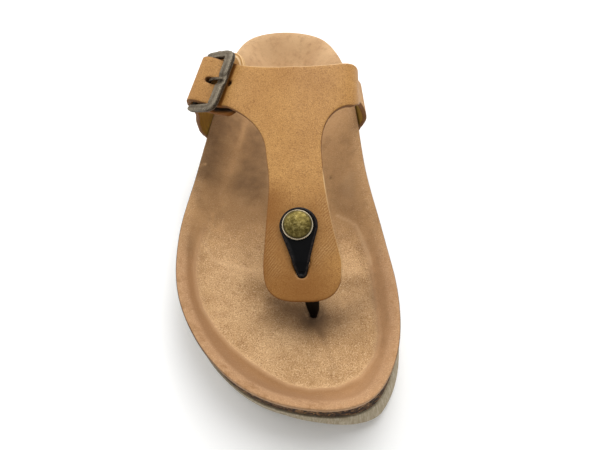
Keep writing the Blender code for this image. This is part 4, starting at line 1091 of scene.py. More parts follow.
def make_leather(name, pattern, surface, node, thick=LEATHER, cell=CELL, relief=None,
                 worn=None, marks=()):
    """Sheet cut to a flat pattern, bent onto a surface, with rounded edges."""
    outlines = [with_leather_left(np.asarray(loop), i > 0)
                for i, loop in enumerate([pattern[0], *pattern[1]])]
    places, faces = fill([shrunk(loop, ROUND[0][0]) for loop in outlines], cell)
    count, edge = len(places), sum(len(loop) for loop in outlines)
    flat, height, side = [places], [np.full(count, thick / 2)], [np.ones(count)]
    for inset, share in ROUND[1:]:
        flat.append(np.concatenate([shrunk(loop, inset) for loop in outlines]))
        height.append(np.full(edge, share * thick))
        side.append(np.full(edge, mix(-EDGE_SIDE, EDGE_SIDE, share + 0.5)))
    inner = places.copy()
    inner[:edge] = flat.pop()
    flat.append(inner)
    height[-1], side[-1] = np.full(count, -thick / 2), -np.ones(count)
    flat, height, side = np.concatenate(flat), np.concatenate(height), np.concatenate(side)
    away = np.min([line_distance(*flat.T, loop, True) for loop in outlines], axis=0)
    if relief:
        height += relief(*flat.T) * (side > 0.9) * smooth(away, *CREASE_ROOM)
    rings = [np.arange(edge)]
    rings += [count + edge * k + np.arange(edge) for k in range(len(ROUND) - 2)]
    below = count + edge * (len(ROUND) - 2)
    rings.append(below + np.arange(edge))
    polygons = faces.tolist() + (faces[:, ::-1] + below).tolist()
    ends = np.cumsum([len(loop) for loop in outlines])[:-1]
    for pair in zip(rings, rings[1:]):
        for stretch in zip(*(np.split(ring, ends) for ring in pair)):
            polygons += bands(stretch)
    fields = {"side": side, "from_edge": away, "worn": worn(*flat.T) if worn else 0.0 * away,
              "tone": marked(*flat.T, marks) + 0.0 * away,
              "folds": np.clip(marked(*flat.T, FOLDED), 0.0, 1.0)}
    return make_piece(name, offset(surface, *flat.T, height), polygons, flat, fields, node)


# %% [markdown]
# ### Creases
#
# Where a strap flexes it keeps soft folds. They are listed as short lines on the pattern:
# a negative height presses a trough, a positive one raises a ridge beside it.

# %% T-strap
CREASES = table(
    "girth1 run1 girth2 run2 wide height",
    (-15.2, 84.5, -9.6, 79.6, 0.55, -0.10),
    (-15.6, 87.2, -9, 81.6, 0.5, -0.12),
    (-15.6, 89.6, -8.8, 84, 0.5, -0.12),
    (-15.4, 92.2, -9.6, 87.2, 0.5, -0.10),
    (-15, 94, -11, 90.6, 0.5, -0.08),
    (9, 73, 12.6, 70, 0.5, -0.06),
    (9.2, 76.5, 13.4, 73.2, 0.5, -0.06),
    (9.6, 80, 14, 77, 0.5, -0.06),
    (-14, 40, 7.6, 46, 5, -0.10),
    (-13, 60, 9, 62, 6, 0.08),
    (-26, 14, -18, 22, 3, 0.10),
    (14, 12, 22, 6, 4, 0.10),
)
HEAD_PRINT = (0.12, 8.0, 1.6)  # depth, radius and width of the print round the post's head
# Painted highlights on the cut edges that catch the lamps:
HIGHLIGHT_BACK = (6.0, 24.0, 36.0)  # run where it ends, and girths between which it fades
HIGHLIGHT_TONGUE = (5.0, 50.0, 58.0, 96.0, 101.0)  # least girth, and the runs of its start and end
HIGHLIGHT_SLOT = (97.6, 3.4, 3.9)  # least run, and distances from the slot's tip


def creases(girth, run):
    """Height of the folds over the strap's plain face."""
    total = 0.0 * girth
    for g1, r1, g2, r2, wide, height in zip(*CREASES.values()):
        total += height * bump(line_distance(girth, run, [(g1, r1), (g2, r2)]), wide)
    head = np.hypot(girth - CAP_GIRTH, run - CAP_RUN)
    return total - HEAD_PRINT[0] * bump(head - HEAD_PRINT[1], HEAD_PRINT[2])


def buckle_line(p, q1, q2):
    """Line on the pattern that crosses the strap's end at p."""
    return [buckle_to_pattern(p, q1), buckle_to_pattern(p, q2)]


# Painted shade and light on the strap: the crown and the tongue darker, the outer side and the neck
# lighter, and shadows beside the buckle's front bar, inside its frame and along the end's bend over
# the pivot.
STRAP_LIGHT_AND_SHADE = [  # width, tone and line of painted shade and painted light
    (12, -0.34, [(-4, 6), (8, 8)]),
    (8, -0.52, [(-20, 94), (-15, 76), (-14, 66)]),
    (15, -0.40, [(-12, 108), (8, 113)]),
    (16, -0.48, [(2, 74), (2, 98)]),
    (7, -0.30, [(17, 64), (18, 82)]),
    (10, 0.18, [(-24, 10), (-34, 4)]),
    (8, 0.12, [(-4, 52), (0, 62)]),
    (1.2, -1.30, buckle_line(-11.0, -13.5, 12.0)),
    (8.0, -0.20, buckle_line(4.0, -6.0, 6.0)),
    (1.8, -0.80, buckle_line(-5.4, -12.0, 12.0)),
    (2.6, -0.90, buckle_line(17.0, -12.0, 12.0)),
]


def edge_highlights(girth, run):
    """Painted highlight on the cut edge: the back, the tongue's side and the slot's tip."""
    back = (run < HIGHLIGHT_BACK[0]) * (1.0 - smooth(abs(girth), *HIGHLIGHT_BACK[1:]))
    tongue = (girth > HIGHLIGHT_TONGUE[0]) * smooth(run, *HIGHLIGHT_TONGUE[1:3])
    tongue = tongue * (1.0 - smooth(run, *HIGHLIGHT_TONGUE[3:]))
    from_tip = np.hypot(girth - HEAD_TIP[0], run - HEAD_TIP[1])
    slot = (run > HIGHLIGHT_SLOT[0]) * (1.0 - smooth(from_tip, *HIGHLIGHT_SLOT[1:]))
    return np.maximum(np.maximum(back, tongue), slot)


t_strap = make_leather("t_strap_leather", t_strap_pattern(CELL), t_strap_surface,
                       node="t_strap", relief=creases, worn=edge_highlights,
                       marks=STRAP_LIGHT_AND_SHADE)

# %% Lateral strap
TAB_HIGHLIGHT_TIP = (-42.0, -37.0)  # girths between which the painted highlight grows towards the tab's tip
TAB_HIGHLIGHT_RUN = 8.0  # its front part is kept under the buckle
# painted shadow on the tab where it comes out from under the strap's end
TAB_SHADOW = [(3.2, -1.60, [(-35.5, 15.5), (-39.5, 14.5), (-44.5, 13.0)])]


def tab_highlight(girth, run):
    """Painted highlight of the tab's tip, twice that of an edge, so that a second pale line lies on
    its face.
    """
    return 2.0 * smooth(girth, *TAB_HIGHLIGHT_TIP) * (run < TAB_HIGHLIGHT_RUN)


lateral_strap = make_leather("lateral_strap_leather", lateral_strap_pattern(CELL), under_surface,
                             node="lateral_strap", worn=tab_highlight,
                             marks=TAB_SHADOW)

# %% [markdown]
# ## Toe post
#
# The post is moulded in one piece: a teardrop head with a raised rim that lies on the tongue,
# and a stem that goes through the slot, bends down between the toes and into the footbed.

# %% Head
HEAD_THICK = 1.8
HEAD_HEIGHT = LEATHER / 2 + GAP + HEAD_THICK / 2
HEAD_DIP = (2.0, 92.5, 97.5)  # depth and runs where the narrow end enters the slot
FACE_DEPTH = 0.28
FACE_SLOPE = (0.9, 1.5)  # distances from the edge where the rim drops to the face
HEAD_LOOP = teardrop(HEAD_CENTRE, HEAD_RADIUS, HEAD_TIP, HEAD_TIP_RADIUS, 0.45)


def head_surface(girth, run):
    return strap_point(girth, run, HEAD_HEIGHT - HEAD_DIP[0] * smooth(run, *HEAD_DIP[1:]))


def head_relief(girth, run):
    """A raised rim round the teardrop and a shallow sunk face inside it."""
    return -FACE_DEPTH * smooth(line_distance(girth, run, HEAD_LOOP, True), *FACE_SLOPE)


head = make_leather("toe_post_head", (HEAD_LOOP, []), head_surface,
                    node="toe_post", thick=HEAD_THICK, cell=0.5, relief=head_relief)


# %% [markdown]
# A stem is a sweep: one closed section is carried along a line of centres. Each centre gets two
# directions across the line, found from the line's own tangent.

# %% Sweep maker and stem
RUBBED = (0.6, 1.1)  # range of 2 c s, which is 1 at the corners of a section
SHADED = (0.0, 0.25)  # range of |c| - |s|, which is above 0 on its flanks


def sweep(name, centres, first, second, half_first, half_second, exponent, sides, closed,
          node=None, grime=0.0):
    """Solid along a line of centres, with a superellipse as its section.

    Two fields say where its corners are rubbed bright, and where painted shade darkens its flanks
    and, when given, its length.
    """
    c, s = superellipse(exponent, 0.0, math.tau, sides + 1)
    c, s, count = c[:-1], s[:-1], len(centres)
    rings = centres[:, None]
    for way, half, share in ((first, half_first, c), (second, half_second, s)):
        way, half = np.broadcast_to(way, centres.shape), np.broadcast_to(half, count)
        rings = rings + way[:, None] * (half[:, None] * share)[..., None]
    loops = list(np.arange(count * sides).reshape(count, sides))
    faces = bands(loops + loops[:1] if closed else loops)
    if not closed:
        faces += [loops[0].tolist(), loops[-1].tolist()]
    steps = np.linalg.norm(np.roll(centres, -1, 0) - centres, axis=1)
    along = np.repeat(summed(steps), sides)
    around = np.tile(np.linspace(0.0, 1.0, sides, endpoint=False), count) * 10.0
    corner = np.tile(smooth(2.0 * abs(c * s), *RUBBED), count)
    flank = np.tile(smooth(abs(c) - abs(s), *SHADED), count)
    flank = np.maximum(flank, np.repeat(grime + np.zeros(count), sides))
    return make_piece(name, rings.reshape(-1, 3), faces, np.stack([along, around], -1),
                      {"corner": corner, "flank": flank}, node)


def fine_line(rows, step):
    """Rows of a table joined by smooth curves, with even small steps."""
    length = length_along(rows[:, :3])
    places = np.linspace(0.0, length[-1], max(int(length[-1] / step), 2))
    return np.stack([curve_through(length, values)(places) for values in rows.T], -1)


STEM_TOP = table(  # on the flat pattern, at a height over the strap's middle
    "girth run height across along",
    (0.2, 94.2, 1.5, 2.3, 2.3), (0.3, 94.6, -0.4, 2.3, 2.3), (0.6, 95, -3, 2.6, 2.4),
)
STEM = np.array([  # x, station, z, half widths across and along
    (10.2, 49.6, 31, 3, 2.4), (11.9, 48, 26, 3.1, 2.4), (12.9, 46.5, 21, 2.9, 2.3),
    (13.2, 45.9, 18.4, 2.5, 2.1), (13.3, 45.7, 16.6, 2, 2), (13.3, 45.7, 10.9, 1.9, 1.9),
])
UPPER = np.column_stack([strap_point(STEM_TOP["girth"], STEM_TOP["run"], STEM_TOP["height"]),
                         STEM_TOP["across"], STEM_TOP["along"]])
STEM_LINE = fine_line(np.concatenate([UPPER, STEM]), 0.5)
stem_tangent = unit(np.gradient(STEM_LINE[:, :3], axis=0))
stem_along = unit(np.cross(stem_tangent, [1.0, 0.0, 0.0]))
stem = sweep("toe_post_stem", STEM_LINE[:, :3], np.cross(stem_along, stem_tangent), stem_along,
             STEM_LINE[:, 3], STEM_LINE[:, 4], exponent=2.6, sides=28, closed=False)

# %% [markdown]
# ## Brass cap
#
# The cap is a low stamped dome with a rolled lip. It is turned from a profile: the profile's
# radius and height go round an axis that stands on the head.

# %% Cap
CAP_PROFILE = table(
    "radius height",
    (6.05, 0), (6.35, 0.2), (6.35, 0.5), (6.28, 0.75), (6.1, 0.98), (5.85, 1.16), (5.5, 1.36),
    (5, 1.62), (4.3, 1.93), (3.4, 2.25), (2.4, 2.49), (1.2, 2.65), (0.5, 2.69),
)


def turned(name, seat, axis, radius, height, sides, node):
    """Profile of radius and height carried round an axis; both ends are closed by a pole."""
    axis = unit(axis)
    across = unit(np.cross(axis, [0.0, 0.0, 1.0]))
    second = np.cross(axis, across)
    angle = np.linspace(0.0, math.tau, sides, endpoint=False)
    ring = np.cos(angle)[:, None] * across + np.sin(angle)[:, None] * second
    places = seat + radius[:, None, None] * ring + height[:, None, None] * axis
    poles = seat + height[[0, -1], None] * axis
    places = np.concatenate([places.reshape(-1, 3), poles])
    loops = np.arange(len(radius) * sides).reshape(-1, sides)
    faces = bands(loops)
    for pole, loop in enumerate(loops[[0, -1]], loops.size):
        faces += [(a, b, pole) for a, b in zip(loop.tolist(), np.roll(loop, -1).tolist())]
    out = np.concatenate([np.repeat(radius, sides), [0.0, 0.0]])
    return make_piece(name, places, faces, None, {"radius": out}, node)


CAP_LIFT = 0.02  # keeps the dome's foot off the head's face
CAP_SEAT = strap_point(CAP_GIRTH, CAP_RUN, HEAD_HEIGHT + HEAD_THICK / 2)
CAP_AXIS = strap_point(CAP_GIRTH, CAP_RUN, 5.0) - strap_point(CAP_GIRTH, CAP_RUN, 4.0)
cap = turned("post_cap_dome", CAP_SEAT + CAP_AXIS * CAP_LIFT, CAP_AXIS, CAP_PROFILE["radius"],
             CAP_PROFILE["height"], sides=72, node="post_cap")

# %% [markdown]
# ## Buckle
#
# The frame is one closed bar: wide and flat in front, slim at the sides, and thin where it forms
# the pivot for the prong. A rounded rectangle gives the path, and the bar's widths change along
# it.

# %% Frame
FRONT_HALF = 2.85  # half widths of the bar in front, at the sides, behind
SIDE_HALF = 1.8
PIVOT_HALF = 1.0
NOTCH = 0.9  # depth of the prong's seat in the front bar
NOTCH_Q = (1.3, 3.4)  # its half width, flat and with its slopes
PIVOT_ENDS = (BILLET_HALF - 0.2, BAR_Q - 0.4)  # q where the pivot grows into the side bars
FRONT_ENDS = (0.35, 0.98)  # how far the path has turned across the strap where the bar widens
FRAME_SQUARE = 7.0  # exponent of the frame's outline
BAR_SQUARE = 5.0  # and of the bars' sections
PATH_STEP = 0.45
path_c, path_s = superellipse(FRAME_SQUARE, 0.0, math.tau, 1200)
path_p = np.where(path_c > 0, EAR_P, -FRONT_BAR_P) * path_c
PATH = spaced(np.stack([path_p, BAR_Q * path_s], -1), PATH_STEP)
path_tangent = unit(np.roll(PATH, -1, 0) - np.roll(PATH, 1, 0))
path_p, path_q = PATH.T
on_pivot = (path_p > 0) * (1.0 - smooth(abs(path_q), *PIVOT_ENDS))
on_front = (path_p < 0) * smooth(abs(path_tangent[:, 1]), *FRONT_ENDS)
half_width = SIDE_HALF + (FRONT_HALF - SIDE_HALF) * on_front + (PIVOT_HALF - SIDE_HALF) * on_pivot
half_thick = mix(BAR_THICK / 2, PIVOT_HALF, on_pivot)
dip = NOTCH * (path_p < 0) * (1.0 - smooth(abs(path_q), *NOTCH_Q))
frame_bar = sweep(
    "buckle_bar", buckle_point(path_p - (EAR_P - PIVOT_P) * on_pivot, path_q, -dip / 2),
    path_tangent[:, 1, None] * BUCKLE_P - path_tangent[:, 0, None] * BUCKLE_Q,
    BUCKLE_N, half_width, half_thick - dip / 2, exponent=BAR_SQUARE, sides=32, closed=True,
    node="buckle_frame")

# %% Prong
RING_RADIUS = 1.43  # eye round the pivot: radius, half wall, half width
RING_WALL = 0.18
RING_HALF = 1.5
RING_STEPS = 48
PRONG_SHADE = (-8.4, -6.0)  # p between which painted shade grows on the rod towards the pivot
PRONG = np.array([  # p, n and radius along the prong
    (3.85, -0.45, 0.65), (2.9, -0.85, 0.7), (1.9, -0.9, 0.7), (0.3, -0.3, 0.7), (-1.8, 1, 0.7),
    (-4.2, 1.7, 0.7), (-8.8, 1.45, 0.65), (-10.9, 1.15, 0.5),
])
ring_angle = np.linspace(0.0, math.tau, RING_STEPS, endpoint=False)
ring_c, ring_s = np.cos(ring_angle), np.sin(ring_angle)
prong_eye = sweep(
    "buckle_prong_eye",
    buckle_point(PIVOT_P + RING_RADIUS * ring_c, 0.0, RING_RADIUS * ring_s),
    ring_c[:, None] * BUCKLE_P + ring_s[:, None] * BUCKLE_N, BUCKLE_Q,
    RING_WALL, RING_HALF, exponent=BAR_SQUARE, sides=16, closed=True,
    node="buckle_prong")
rod = fine_line(np.insert(PRONG, 1, 0.0, axis=1), 0.4)
ROD = buckle_point(rod[:, 0], 0.0, rod[:, 2])
rod_tangent = unit(np.gradient(ROD, axis=0))
taper = np.sqrt(np.clip(np.arange(len(ROD))[::-1] / 2.0, 0.15, 1.0))  # rounds the tip off
prong = sweep("buckle_prong_rod", ROD, BUCKLE_Q, np.cross(rod_tangent, BUCKLE_Q),
              rod[:, 3] * taper, rod[:, 3] * taper, exponent=2.2, sides=20, closed=False,
              grime=smooth(rod[:, 0], *PRONG_SHADE))

# %% [markdown]
# ## Finishes
#
# A shader is a sum: a little mottling, a little grain, a darker edge. Sums are easier to read as
# Python than as a web of nodes, so a socket is wrapped in a small class whose plus and times add
# the Math nodes.

# %% Shader class
def paint(red, green, blue):
    """Linear colour from the 0 to 255 values of a colour chart."""
    values = np.array([red, green, blue]) / 255.0
    return tuple(float(v) for v in np.where(values <= 0.04045, values / 12.92,
                                            ((values + 0.055) / 1.055) ** 2.4))


class Wire:
    """A number or colour that runs through a shader."""

    def __init__(self, finish, socket):
        self.finish, self.socket = finish, socket

    def math(self, operation, *values):
        return self.finish.node("ShaderNodeMath", {"operation": operation}, dict(enumerate(values)))

    def __add__(self, other):
        return self.math("ADD", self, other)

    def __sub__(self, other):
        return self.math("SUBTRACT", self, other)

    def __rsub__(self, other):
        return self.math("SUBTRACT", other, self)

    def __mul__(self, other):
        return self.math("MULTIPLY", self, other)

    __radd__, __rmul__ = __add__, __mul__

    def step(self, low, high):
        """0 below low, 1 above high, smooth between; low may be the larger one."""
        return self.finish.node("ShaderNodeMapRange", {"interpolation_type": "SMOOTHSTEP"}, {
            "Value": self, "From Min": min(low, high), "From Max": max(low, high),
            "To Min": float(low > high), "To Max": float(low < high)})


print("tan leather as light:", [round(v, 3) for v in paint(193, 149, 95)])


# %% Node makers
def feed(tree, socket, value):
    """Give a socket a value, a colour of the chart, or a link."""
    if isinstance(value, Wire):
        value = value.socket
    if isinstance(value, bpy.types.NodeSocket):
        tree.links.new(value, socket)
    elif socket.type == "RGBA":
        socket.default_value = (*paint(*value), 1.0)
    else:
        socket.default_value = value


def add_node(tree, kind, settings=None, sockets=None):
    """New node; its settings are set first, and then its sockets."""
    made = tree.nodes.new(kind)
    for key, value in (settings or {}).items():
        if key == "stops":
            while len(made.color_ramp.elements) < len(value):
                made.color_ramp.elements.new(0.5)
            for element, (position, color) in zip(made.color_ramp.elements, value):
                element.position = position
                element.color = (*paint(*color), 1.0)
        else:
            setattr(made, key, value)
    for key, value in (sockets or {}).items():
        feed(tree, made.inputs[key], value)
    return made


# %% Finish class
class Finish:
    """A material in the making."""

    def __init__(self, name, **fixed):
        self.material = bpy.data.materials.new(name)
        self.material.use_nodes = True
        self.tree = self.material.node_tree
        for key, value in fixed.items():
            self.input(key).default_value = value

    def input(self, key):
        """Socket of the shader, by its label in small letters with underscores."""
        label = key.replace("_", " ").title().replace("Ior", "IOR")
        return self.tree.nodes["Principled BSDF"].inputs[label]

    def node(self, kind, settings=None, sockets=None, out=0):
        return Wire(self, add_node(self.tree, kind, settings, sockets).outputs[out])

    def field(self, name):
        return self.node("ShaderNodeAttribute", {"attribute_name": name}, out="Fac")

    def place(self, stretch=(1.0, 1.0, 1.0), pattern=False):
        """Place on the object, or on the piece's flat pattern, in metres."""
        return self.node("ShaderNodeVectorMath", {"operation": "MULTIPLY"}, {
            0: self.node("ShaderNodeTexCoord", out="UV" if pattern else "Object"), 1: stretch})

    def noise(self, place, size, detail=3.0, rough=0.55, warp=0.0):
        """Cloudy value between 0 and 1, with patches of a size in millimetres."""
        return self.node("ShaderNodeTexNoise", None, {
            "Vector": place, "Scale": 1.0 / (size * MM), "Detail": detail, "Roughness": rough,
            "Distortion": warp})

    def cells(self, place, size, feature="F1", out="Distance"):
        return self.node("ShaderNodeTexVoronoi", {"feature": feature}, {
            "Vector": place, "Scale": 1.0 / (size * MM)}, out)

    def stripes(self, place, across, size, warp):
        """Soft stripes of a size in millimetres, bent by a slow noise."""
        along = self.node("ShaderNodeVectorMath", {"operation": "DOT_PRODUCT"},
                          {0: place, 1: across}, 1)
        phase = along * (math.tau / (size * MM)) + self.noise(place, 4.0) * warp
        return phase.math("SINE", phase) * 0.5 + 0.5

    def ramp(self, value, *stops):
        return self.node("ShaderNodeValToRGB", {"stops": stops}, {"Fac": value})

    def blend(self, share, first, second):
        """Colour between two colours."""
        return self.node("ShaderNodeMix", {"data_type": "RGBA", "clamp_factor": True},
                         {0: share, 6: first, 7: second}, 2)

    def coats(self, color, *layers):
        """Colour under thin coats, each with its share and its own colour."""
        for share, coat in layers:
            color = self.blend(share, color, coat)
        return color

    def relief(self, height, depth, below=None):
        """Bump of a depth in millimetres; below is a bump under it."""
        sockets = {"Height": height, "Distance": depth * MM, "Strength": 1.0}
        if below:
            sockets["Normal"] = below
        return self.node("ShaderNodeBump", None, sockets)

    def finish(self, *pieces, **values):
        """Link what changes over the surface, and give the finish to its pieces."""
        for key, value in values.items():
            feed(self.tree, self.input(key), value)
        for piece in pieces:
            piece.data.materials.clear()
            piece.data.materials.append(self.material)
        print(f"{self.material.name}: {len(self.tree.nodes)} nodes on {len(pieces)} pieces")

# %% [markdown]
# ### Strap leather
#
# Smooth tan leather with a fine pebble grain. The colour drifts in patches, the grain side is
# faintly glossy, the cut edge is dark and fibrous, and the flesh side is darker and napped.
# Light and shade are painted on it too: highlights along some cut edges and shade on the others,
# the marks' light and shade, and light stripes on the folds.
# The pattern's own coordinates keep the grain the same size wherever the strap bends.

# %% Leather finish
EDGE_HIGHLIGHT = (240, 204, 152)  # painted highlight along a cut edge
leather = Finish("strap_leather", specular_ior_level=0.3)
flat = leather.place(pattern=True)
side, from_edge = leather.field("side"), leather.field("from_edge")
worn, tone, folded = leather.field("worn"), leather.field("tone"), leather.field("folds")
on_cut = side.step(0.95, 0.6)
on_flesh = side.step(-0.5, -0.95)
rounding = from_edge.step(0.8, 0.2)
patches = leather.noise(flat, 24.0, 3.0)
spots = leather.noise(flat, 2.6, 4.0, 0.65)
grain = leather.noise(flat, 0.42, 2.0, 0.6)
wrinkles = leather.noise(leather.place((0.55, 1.6, 1.0), pattern=True), 0.9, 3.0, 0.6, 0.8)
pebbles = leather.cells(flat, 0.6, "SMOOTH_F1")
folds = leather.stripes(flat, (0.77, 0.64, 0.0), 1.0, 7.0) * folded
tan = leather.coats(
    leather.blend(patches.step(0.3, 0.7), (199, 148, 82), (181, 130, 67)),
    # painted light of the marks
    (tone.step(0.0, 1.0), (236, 188, 124)),
    # painted shade over the folded places, and painted highlights on the folds' crests
    (folded * 0.3, (138, 92, 44)),
    (folds * 0.9, (228, 182, 118)),
    (spots.step(0.4, 0.7) * 0.3, (156, 106, 48)),
    (wrinkles.step(0.5, 0.75) * 0.35, (216, 164, 98)),
    (pebbles.step(0.35, 0.75) * 0.42 + grain.step(0.45, 0.72) * 0.45, (134, 86, 38)),
    (grain.step(0.5, 0.3) * 0.5, (228, 178, 112)),
    # painted highlights on the lit edges, a second pale line on the tab, and painted shade on the
    # rounded edges that are not lit
    (rounding * worn, EDGE_HIGHLIGHT),
    (worn.step(1.0, 1.6) * from_edge.step(1.3, 1.7) * from_edge.step(2.6, 2.2), EDGE_HIGHLIGHT),
    (rounding * worn.step(1.0, 0.0) * 0.5, (120, 78, 36)))
fibres = leather.noise(flat, 0.35, 3.0)
# dark cut edge, made paler under the painted highlights
cut = leather.coats(leather.blend(fibres, (96, 62, 30), (142, 98, 54)),
                    (worn * 0.7, (206, 164, 110)))
nap = leather.noise(flat, 0.9, 4.0, 0.7)
streaks = leather.noise(leather.place((0.2, 1.0, 1.0), pattern=True), 1.6, 3.0, 0.6)
flesh = leather.blend(nap * 0.5 + streaks * 0.5, (92, 66, 14), (192, 150, 62))
# the cut edge, the painted shade of the marks, darkest in the buckle's shadows, and the flesh side
color = leather.coats(tan, (on_cut, cut), (tone.step(0.0, -1.0), (130, 78, 16)),
                      (tone.step(-0.8, -1.5), (40, 24, 10)), (on_flesh, flesh))
leather.finish(
    t_strap, lateral_strap, base_color=color,
    roughness=0.5 + 0.15 * spots + 0.2 * on_cut - 0.12 * on_flesh,
    normal=leather.relief(pebbles * 0.6 + grain * 0.5 + fibres * on_cut + nap * on_flesh, 0.07,
                          leather.relief(wrinkles + spots + folds * 1.5, 0.07)))

# %% [markdown]
# ### Suede
#
# The lining is napped, so it scatters light evenly and shows a fine speckle. Its colour changes
# behind the ball, its paler heel is painted light, and round the post's foot lie grime with a
# painted shadow and, towards the toe, a painted highlight ring.

# %% Suede finish
suede = Finish("suede_lining", roughness=0.95, sheen_weight=0.1, sheen_roughness=0.5)
place = suede.place()
clouds = suede.noise(place, 18.0, 4.0, 0.55)
blots = suede.noise(place, 4.5, 4.0, 0.65)
speckle = suede.noise(place, 0.45, 2.0, 0.7)
drift = clouds.step(0.3, 0.7)
inner, waist, heel = suede.field("inner"), suede.field("waist"), suede.field("heel")
tone = suede.field("tone") * (0.75 + 0.5 * blots)
margin = suede.field("margin") * blots.step(0.25, 0.55)
grit = 0.14 + 0.8 * inner + 0.3 * margin + 0.16 * waist * (1.0 - heel)
waist_bed = suede.blend(clouds.step(0.35, 0.65), (188, 146, 97), (164, 125, 80))
heel_painted_light = suede.blend(drift, (208, 169, 124), (194, 153, 109))
bed = suede.coats(suede.blend(drift, (197, 158, 112), (177, 138, 92)), (waist, waist_bed))
slope = suede.coats(suede.blend(suede.field("medial"), (153, 111, 69), (173, 130, 87)),
                    (drift * 0.5, (143, 102, 61)), (margin * 0.75, (190, 148, 107)))
shade = suede.coats(
    suede.blend(inner, suede.blend(waist * 0.7, slope, bed), bed),
    # the paler heel is painted light
    (heel, heel_painted_light),
    (blots.step(0.45, 0.75) * 0.35, (150, 110, 70)),
    (speckle.step(0.52, 0.7) * grit, (124, 86, 50)),
    (speckle.step(0.46, 0.3) * grit * 0.8, (236, 204, 164)),
    (suede.field("crease") * 0.25, (222, 180, 136)),
    # painted light and painted shade of the marks, among a few real stains
    (tone.step(0.0, 1.0), (228, 190, 146)),
    (tone.step(0.0, -1.0) * 0.9, (98, 68, 36)),
    # painted shade along the lining's cut, for the cork's shaded side
    (suede.field("brink") * 0.85, (58, 38, 22)),
    # grime and the post's painted shadow round its foot
    (suede.field("grime") * (0.6 + 0.4 * blots), (84, 60, 36)))
suede.finish(lining, base_color=shade,
             normal=suede.relief(speckle, 0.16, suede.relief(blots, 0.2)))

# %% [markdown]
# ### Cork, foam, plastic and metal

# %% Cork finish
bark = Finish("cork_body", roughness=0.85, specular_ior_level=0.2)
place = bark.place()
lumps = bark.noise(place, 3.0, 2.0)
crumb = bark.cells(place, 1.1, out="Color")
crevice = bark.cells(place, 1.1, "DISTANCE_TO_EDGE")
dust = bark.noise(place, 0.5, 3.0, 0.7)
brown = bark.coats(
    bark.ramp(bark.node("ShaderNodeSeparateColor", None, {"Color": crumb}),
              (0, (30, 18, 9)), (0.4, (64, 40, 20)), (0.7, (100, 68, 36)),
              (0.85, (150, 110, 68))),
    (crevice.step(0.09, 0.0), (30, 19, 11)), (dust.step(0.5, 0.75) * 0.4, (40, 26, 15)))
bark.finish(cork, base_color=brown,
            normal=bark.relief(crevice.step(0.0, 0.2) + dust * 0.4 + lumps * 0.5, 0.2))

# %% Foam finish
foam = Finish("outsole_foam", roughness=0.9)
streaks = foam.noise(foam.place((1.0, 0.12, 1.0), pattern=True), 0.7, 3.0, 0.6)
pores = foam.noise(foam.place(), 0.6, 3.0, 0.7)
grey = foam.coats(
    foam.blend(foam.noise(foam.place(), 12.0), (172, 157, 130), (146, 130, 102)),
    (streaks.step(0.4, 0.7) * 0.6, (208, 196, 172)), (pores.step(0.55, 0.75) * 0.5, (88, 74, 56)))
foam.finish(outsole, base_color=grey, normal=foam.relief(streaks * 0.6 + pores * 0.5, 0.15))

# %% [markdown]
# ### Tread
#
# The underside is never seen when the sandal stands, but it is a part of it: rows of short bars
# grip the floor. A repeat like this is a job for Geometry Nodes. The tree lays one bar on each
# point of a flat sheet of points, joins them and gives them the foam's finish.

# %% Points for the tread's bars
BAR = (6.4, 2.2, 1.25)  # length, width and height of one bar
BAR_PITCH = (4.6, 8.2)  # spacing along and across the sole
BAR_ANGLE = math.radians(32.0)
BAR_SINK = 0.02  # how far a bar's face stays above the floor
BAR_BORDER = 11.5  # distance from the rim to the nearest bar's middle
END_ROOM = 8.0  # and from the toe tip and the heel
HALF_FIELD = 60.0  # half the width that the rows reach over


def bar_places():
    """Where the bars stand, and how each is turned: a herringbone inside the border."""
    rows = np.arange(END_ROOM, LENGTH - END_ROOM, BAR_PITCH[0])
    columns = np.arange(-HALF_FIELD, HALF_FIELD, BAR_PITCH[1])
    x, station = np.meshgrid(columns, rows)
    x[1::2] += BAR_PITCH[1] / 2
    points = np.stack([x.ravel(), station.ravel()], -1)
    keep = inside(points, np.stack([RIM_X, RIM_STATION], -1))
    x, station = points[keep & (rim_distance(*points.T)[0] > BAR_BORDER)].T
    tilt = np.arctan((ground(station + 1.0) - ground(station - 1.0)) / 2.0)
    odd = np.round((x + HALF_FIELD) / (BAR_PITCH[1] / 2)) % 2 >= 1
    centre = np.stack([x, station, ground(station) + BAR[2] / 2 + BAR_SINK], -1)
    return centre, np.stack([tilt, 0.0 * tilt, np.where(odd, -BAR_ANGLE, BAR_ANGLE)], -1)


BAR_CENTRES, BAR_TURNS = bar_places()
print("bars in the tread:", len(BAR_CENTRES))


